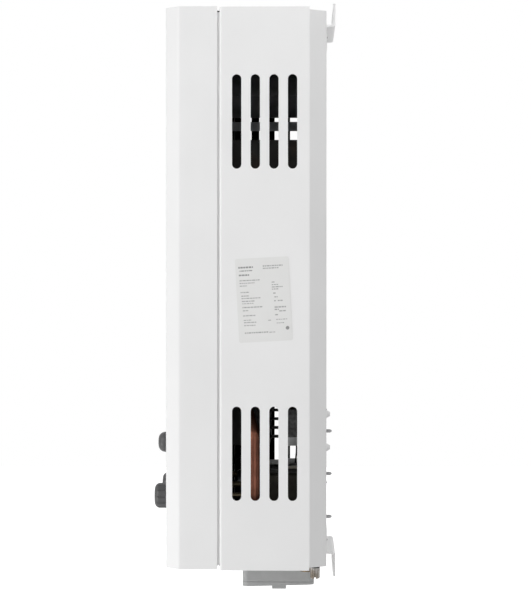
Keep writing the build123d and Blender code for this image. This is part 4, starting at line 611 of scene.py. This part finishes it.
# A plain mark beside the push button: a broken ring with a bar.
button_low, button_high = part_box("power_button")
BUTTON_MARK_RISE = 17 * MM
mark_x = (button_low.x + button_high.x) / 2
mark_z = (button_low.z + button_high.z) / 2 + BUTTON_MARK_RISE
mark_centre = Vector((mark_x, front_y - MARK_HALF, mark_z))
mark_mesh = bmesh.new()
for step in range(13):
    turn = math.radians(90 + 40 + 280 * step / 12)
    outward = Vector((math.cos(turn), 0, math.sin(turn)))
    along = Vector((-math.sin(turn), 0, math.cos(turn)))
    slab(mark_mesh, mark_centre + outward * 2.4 * MM, 0.25 * MM, 0.7 * MM, MARK_HALF, outward, along)
slab(mark_mesh, mark_centre + Z_AXIS * 2.0 * MM, 0.25 * MM, 1.3 * MM, MARK_HALF, X_AXIS, Z_AXIS)
piece("button_mark", mark_mesh, front_print, "root")

# Two unlit seven-segment digits and a degree ring.
display_low, display_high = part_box("display_module")
display_middle_z = (display_low.z + display_high.z) / 2
digit_mesh = bmesh.new()
DIGIT_HALF_WIDTH = 3.4 * MM
DIGIT_HALF_HEIGHT = 6.2 * MM
for digit_x in (-6.5 * MM, 5.0 * MM):
    digit_centre = Vector((digit_x, front_y - MARK_HALF, display_middle_z))
    for row in (-1, 0, 1):
        bar = digit_centre + Z_AXIS * row * DIGIT_HALF_HEIGHT
        slab(digit_mesh, bar, DIGIT_HALF_WIDTH * 0.8, 0.6 * MM, MARK_HALF, X_AXIS, Z_AXIS)
    for side in (-1, 1):
        for half in (-1, 1):
            bar = digit_centre + X_AXIS * side * DIGIT_HALF_WIDTH + Z_AXIS * half * DIGIT_HALF_HEIGHT / 2
            slab(digit_mesh, bar, 0.6 * MM, DIGIT_HALF_HEIGHT * 0.4, MARK_HALF, X_AXIS, Z_AXIS)
for step in range(16):
    turn = 2 * math.pi * step / 16
    outward = Vector((math.cos(turn), 0, math.sin(turn)))
    along = Vector((-math.sin(turn), 0, math.cos(turn)))
    spot = Vector((13.0 * MM, front_y - MARK_HALF, display_middle_z + 5.2 * MM)) + outward * 1.3 * MM
    slab(digit_mesh, spot, 0.25 * MM, 0.28 * MM, MARK_HALF, outward, along)
piece("display_segments", digit_mesh, segment_grey, "root")

# ---- threaded fittings --------------------------------------------------------------------------

THREAD_PITCH = 1.814 * MM
THREAD_DEPTH = 1.0 * MM
THREAD_RADIUS = 10.475 * MM
BORE_RADIUS = 7.0 * MM
HEX_HALF = 13.0 * MM
HEX_HEIGHT = 8.0 * MM
STEPS_PER_TURN = 8
ROUND_STEPS = 48


def nipple(name, body, node, centre_x, centre_y):
    """A nipple with a cut thread and a chamfered hexagon, in place of its plain solid."""
    low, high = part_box(node)
    hex_low = high.z - HEX_HEIGHT
    thread_top = hex_low - 3.5 * MM
    rows = int((thread_top - low.z) / (THREAD_PITCH / STEPS_PER_TURN))
    outline = [(BORE_RADIUS, high.z), (BORE_RADIUS, low.z + 0.8 * MM), (BORE_RADIUS + 0.8 * MM, low.z)]
    outline.append((THREAD_RADIUS - 1.3 * MM, low.z))
    outline += [(THREAD_RADIUS, low.z + (row + 1) * THREAD_PITCH / STEPS_PER_TURN) for row in range(rows)]
    neck = THREAD_RADIUS - THREAD_DEPTH
    outline += [(neck, thread_top + 0.6 * MM), (neck, hex_low + 0.4 * MM), (neck, high.z)]

    def radius_at(radius, height, turn):
        if radius < THREAD_RADIUS:
            return radius
        phase = (height - low.z) / THREAD_PITCH - turn / (2 * math.pi)
        wave = 0.5 - 0.5 * math.cos(2 * math.pi * phase)
        fade = min(1.0, (height - low.z) / THREAD_PITCH)
        crest = THREAD_RADIUS - 1.1 * MM * (1 - fade)
        return crest - THREAD_DEPTH * min(1.0, wave * 1.15)

    mesh = bmesh.new()
    lathe(mesh, outline, (centre_x, centre_y), ROUND_STEPS, radius_at)
    # The hexagon, its corners turned down at both faces.
    rings = []
    edge = 0.9 * MM
    for height, shrink in ((hex_low, 0.9), (hex_low + edge, 1.0), (high.z - edge, 1.0), (high.z, 0.9)):
        ring = []
        for index in range(ROUND_STEPS):
            turn = 2 * math.pi * index / ROUND_STEPS
            flat = HEX_HALF / math.cos((turn % (math.pi / 3)) - math.pi / 6)
            limit = HEX_HALF * (1.155 if shrink == 1.0 else 1.02)
            real = min(flat, limit)
            x = centre_x + real * math.cos(turn)
            y = centre_y + real * math.sin(turn)
            ring.append(mesh.verts.new((x, y, height)))
        rings.append(ring)
    mesh.faces.new(rings[0][::-1])
    mesh.faces.new(rings[-1])
    for lower, upper in zip(rings, rings[1:]):
        for index in range(ROUND_STEPS):
            after = (index + 1) % ROUND_STEPS
            mesh.faces.new([lower[index], lower[after], upper[after], upper[index]])
    made = piece(name, mesh, materials["brass"], body, smooth=True)
    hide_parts(node)
    return made


# (piece, node, X, depth) in mm
fittings = (
    ("cold_inlet_nipple", "cold_inlet", 98.0, 16.5),
    ("gas_inlet_nipple", "gas_inlet", 0.0, 30.0),
    ("hot_outlet_nipple", "hot_outlet", -144.0, 18.5),
)
grommet_mesh = bmesh.new()
for fitting_name, fitting_node, fitting_x, fitting_depth in fittings:
    nipple(fitting_name, "root", fitting_node, fitting_x * MM, out(fitting_depth))
    # A grooved rubber ring seals the way through the bottom plate.
    ring = [
        # (radius, height above the casing's lower edge) in mm
        (10.6, 1.7), (13.2, 1.7), (13.6, 2.1), (13.6, 2.74), (11.9, 2.74),
        (11.9, 3.86), (13.6, 3.86), (13.4, 4.8), (11.6, 5.3), (10.6, 5.3),
    ]
    ring_outline = [(radius * MM, up(height)) for radius, height in ring]
    lathe(grommet_mesh, ring_outline, (fitting_x * MM, out(fitting_depth)))
piece("grommets", grommet_mesh, materials["seal_rubber"], "root", smooth=True)

# ---- a bare earth wire from the gas valve to the manifold's shelf --------------------------------


def wire(mesh, points, radius, count=10):
    """Adds a closed round wire along a line of points."""
    rings = []
    for index, point in enumerate(points):
        before = points[max(0, index - 1)]
        after = points[min(len(points) - 1, index + 1)]
        along = (after - before).normalized()
        first = along.cross(X_AXIS).normalized()
        second = along.cross(first)
        ring = []
        for step in range(count):
            turn = 2 * math.pi * step / count
            ring.append(mesh.verts.new(point + (first * math.cos(turn) + second * math.sin(turn)) * radius))
        rings.append(ring)
    mesh.faces.new(rings[0][::-1])
    mesh.faces.new(rings[-1])
    for lower, upper in zip(rings, rings[1:]):
        for step in range(count):
            after = (step + 1) % count
            mesh.faces.new([lower[step], lower[after], upper[after], upper[step]])


EARTH_RADIUS = 0.9 * MM
EARTH_CLEARANCE = 0.1 * MM
EARTH_TOP_DROP = 2.0 * MM
EARTH_STEPS = 24
earth_base_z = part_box("gas_valve_body")[1].z + EARTH_CLEARANCE
earth_top_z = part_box("manifold_bracket")[1].z - EARTH_TOP_DROP
earth_points = []
for step in range(EARTH_STEPS + 1):
    share = step / EARTH_STEPS
    swing = math.sin(math.pi * share)
    earth_points.append(Vector((
        -4 * MM + 3 * MM * swing,
        out(30.0 - 1.5 * swing),
        earth_base_z + (earth_top_z - earth_base_z) * share,
    )))
earth_mesh = bmesh.new()
wire(earth_mesh, earth_points, EARTH_RADIUS)
piece("earth_wire", earth_mesh, materials["lead_rubber"], "root", smooth=True)

# ---- the push button's spring, as its own mesh in spring steel -----------------------------------

plain_spring = frame["nodes"]["button_spring"]
spring_mesh = bmesh.new()
spring_mesh.from_mesh(plain_spring.data)
spring_mesh.transform(plain_spring.matrix_world)
coil = piece("button_coil", spring_mesh, materials["spring_steel"], "root", smooth=True)
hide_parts("button_spring")
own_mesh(coil)

# ---- stage --------------------------------------------------------------------------------------

FLOOR_Z = -1.7
FLOOR_HALF = 12.0
FLOOR_GLOW = 0.93
FLOOR_FILL = 0.06


def seen_directly(tree):
    """1 for what the camera sees directly, through glass or in a reflection, else 0."""
    path = tree.nodes.new("ShaderNodeLightPath")
    seen_through = calc(tree, "MAXIMUM", path.outputs["Is Camera Ray"], path.outputs["Is Transmission Ray"])
    return calc(tree, "MAXIMUM", seen_through, path.outputs["Is Glossy Ray"])


floor_mesh = bmesh.new()
corners = [floor_mesh.verts.new((x, y, FLOOR_Z)) for x, y in ((-1, -1), (1, -1), (1, 1), (-1, 1))]
for corner in corners:
    corner.co.x *= FLOOR_HALF
    corner.co.y *= FLOOR_HALF
floor_mesh.faces.new(corners)
floor_data = bpy.data.meshes.new("floor")
floor_mesh.to_mesh(floor_data)
floor_mesh.free()
floor = bpy.data.objects.new("floor", floor_data)
scene.collection.objects.link(floor)
floor_material, floor_tree, floor_shader = start("floor")
floor_shader.inputs["Base Color"].default_value = shade(225)
floor_shader.inputs["Roughness"].default_value = 0.9
floor_shader.inputs["Emission Color"].default_value = (1, 1, 1, 1)
floor_glow = calc(floor_tree, "MULTIPLY", seen_directly(floor_tree), FLOOR_GLOW)
floor_light = calc(floor_tree, "MAXIMUM", floor_glow, FLOOR_FILL)
floor_tree.links.new(floor_light, floor_shader.inputs["Emission Strength"])
floor_data.materials.append(floor_material)

world = bpy.data.worlds.new("studio")
world.use_nodes = True
scene.world = world
world_tree = world.node_tree
background = world_tree.nodes["Background"]
seen = seen_directly(world_tree)
# The unseen surroundings are lighter behind than in front.
WORLD_FRONT = 0.02
WORLD_BACK = 0.69
split_world = world_tree.nodes.new("ShaderNodeSeparateXYZ")
world_tree.links.new(world_tree.nodes.new("ShaderNodeTexCoord").outputs["Generated"], split_world.inputs[0])
around = remap(world_tree, split_world.outputs["Y"], -1.0, 1.0, WORLD_FRONT, WORLD_BACK)
background.inputs["Color"].default_value = (1, 1, 1, 1)
world_tree.links.new(calc(world_tree, "MAXIMUM", around, seen), background.inputs["Strength"])


def area_light(name, place, aim, size, power):
    """A soft square lamp that looks at a point."""
    data = bpy.data.lights.new(name, "AREA")
    data.shape = "SQUARE"
    data.size = size
    data.energy = power
    lamp = bpy.data.objects.new(name, data)
    scene.collection.objects.link(lamp)
    lamp.location = place
    lamp.rotation_mode = "QUATERNION"
    lamp.rotation_quaternion = (Vector(aim) - Vector(place)).to_track_quat("-Z", "Y")


middle = (0.0, out(MIDDLE_DEPTH), up(MIDDLE_HEIGHT))
# (name, place, aim, size, power)
lamps = (
    ("key", (1.85, -2.1, 0.75), middle, 1.6, 39.0),
    ("side", (2.6, 0.5, 0.3), middle, 1.0, 2.4),
    ("rear_top", (0.5, 0.4, 0.22), (0.16, out(10), up(500)), 0.25, 0.85),
    ("low_front", (0.9, -1.6, -1.1), (0.05, out(60), up(0)), 0.6, 9.5),
)
for lamp in lamps:
    area_light(*lamp)
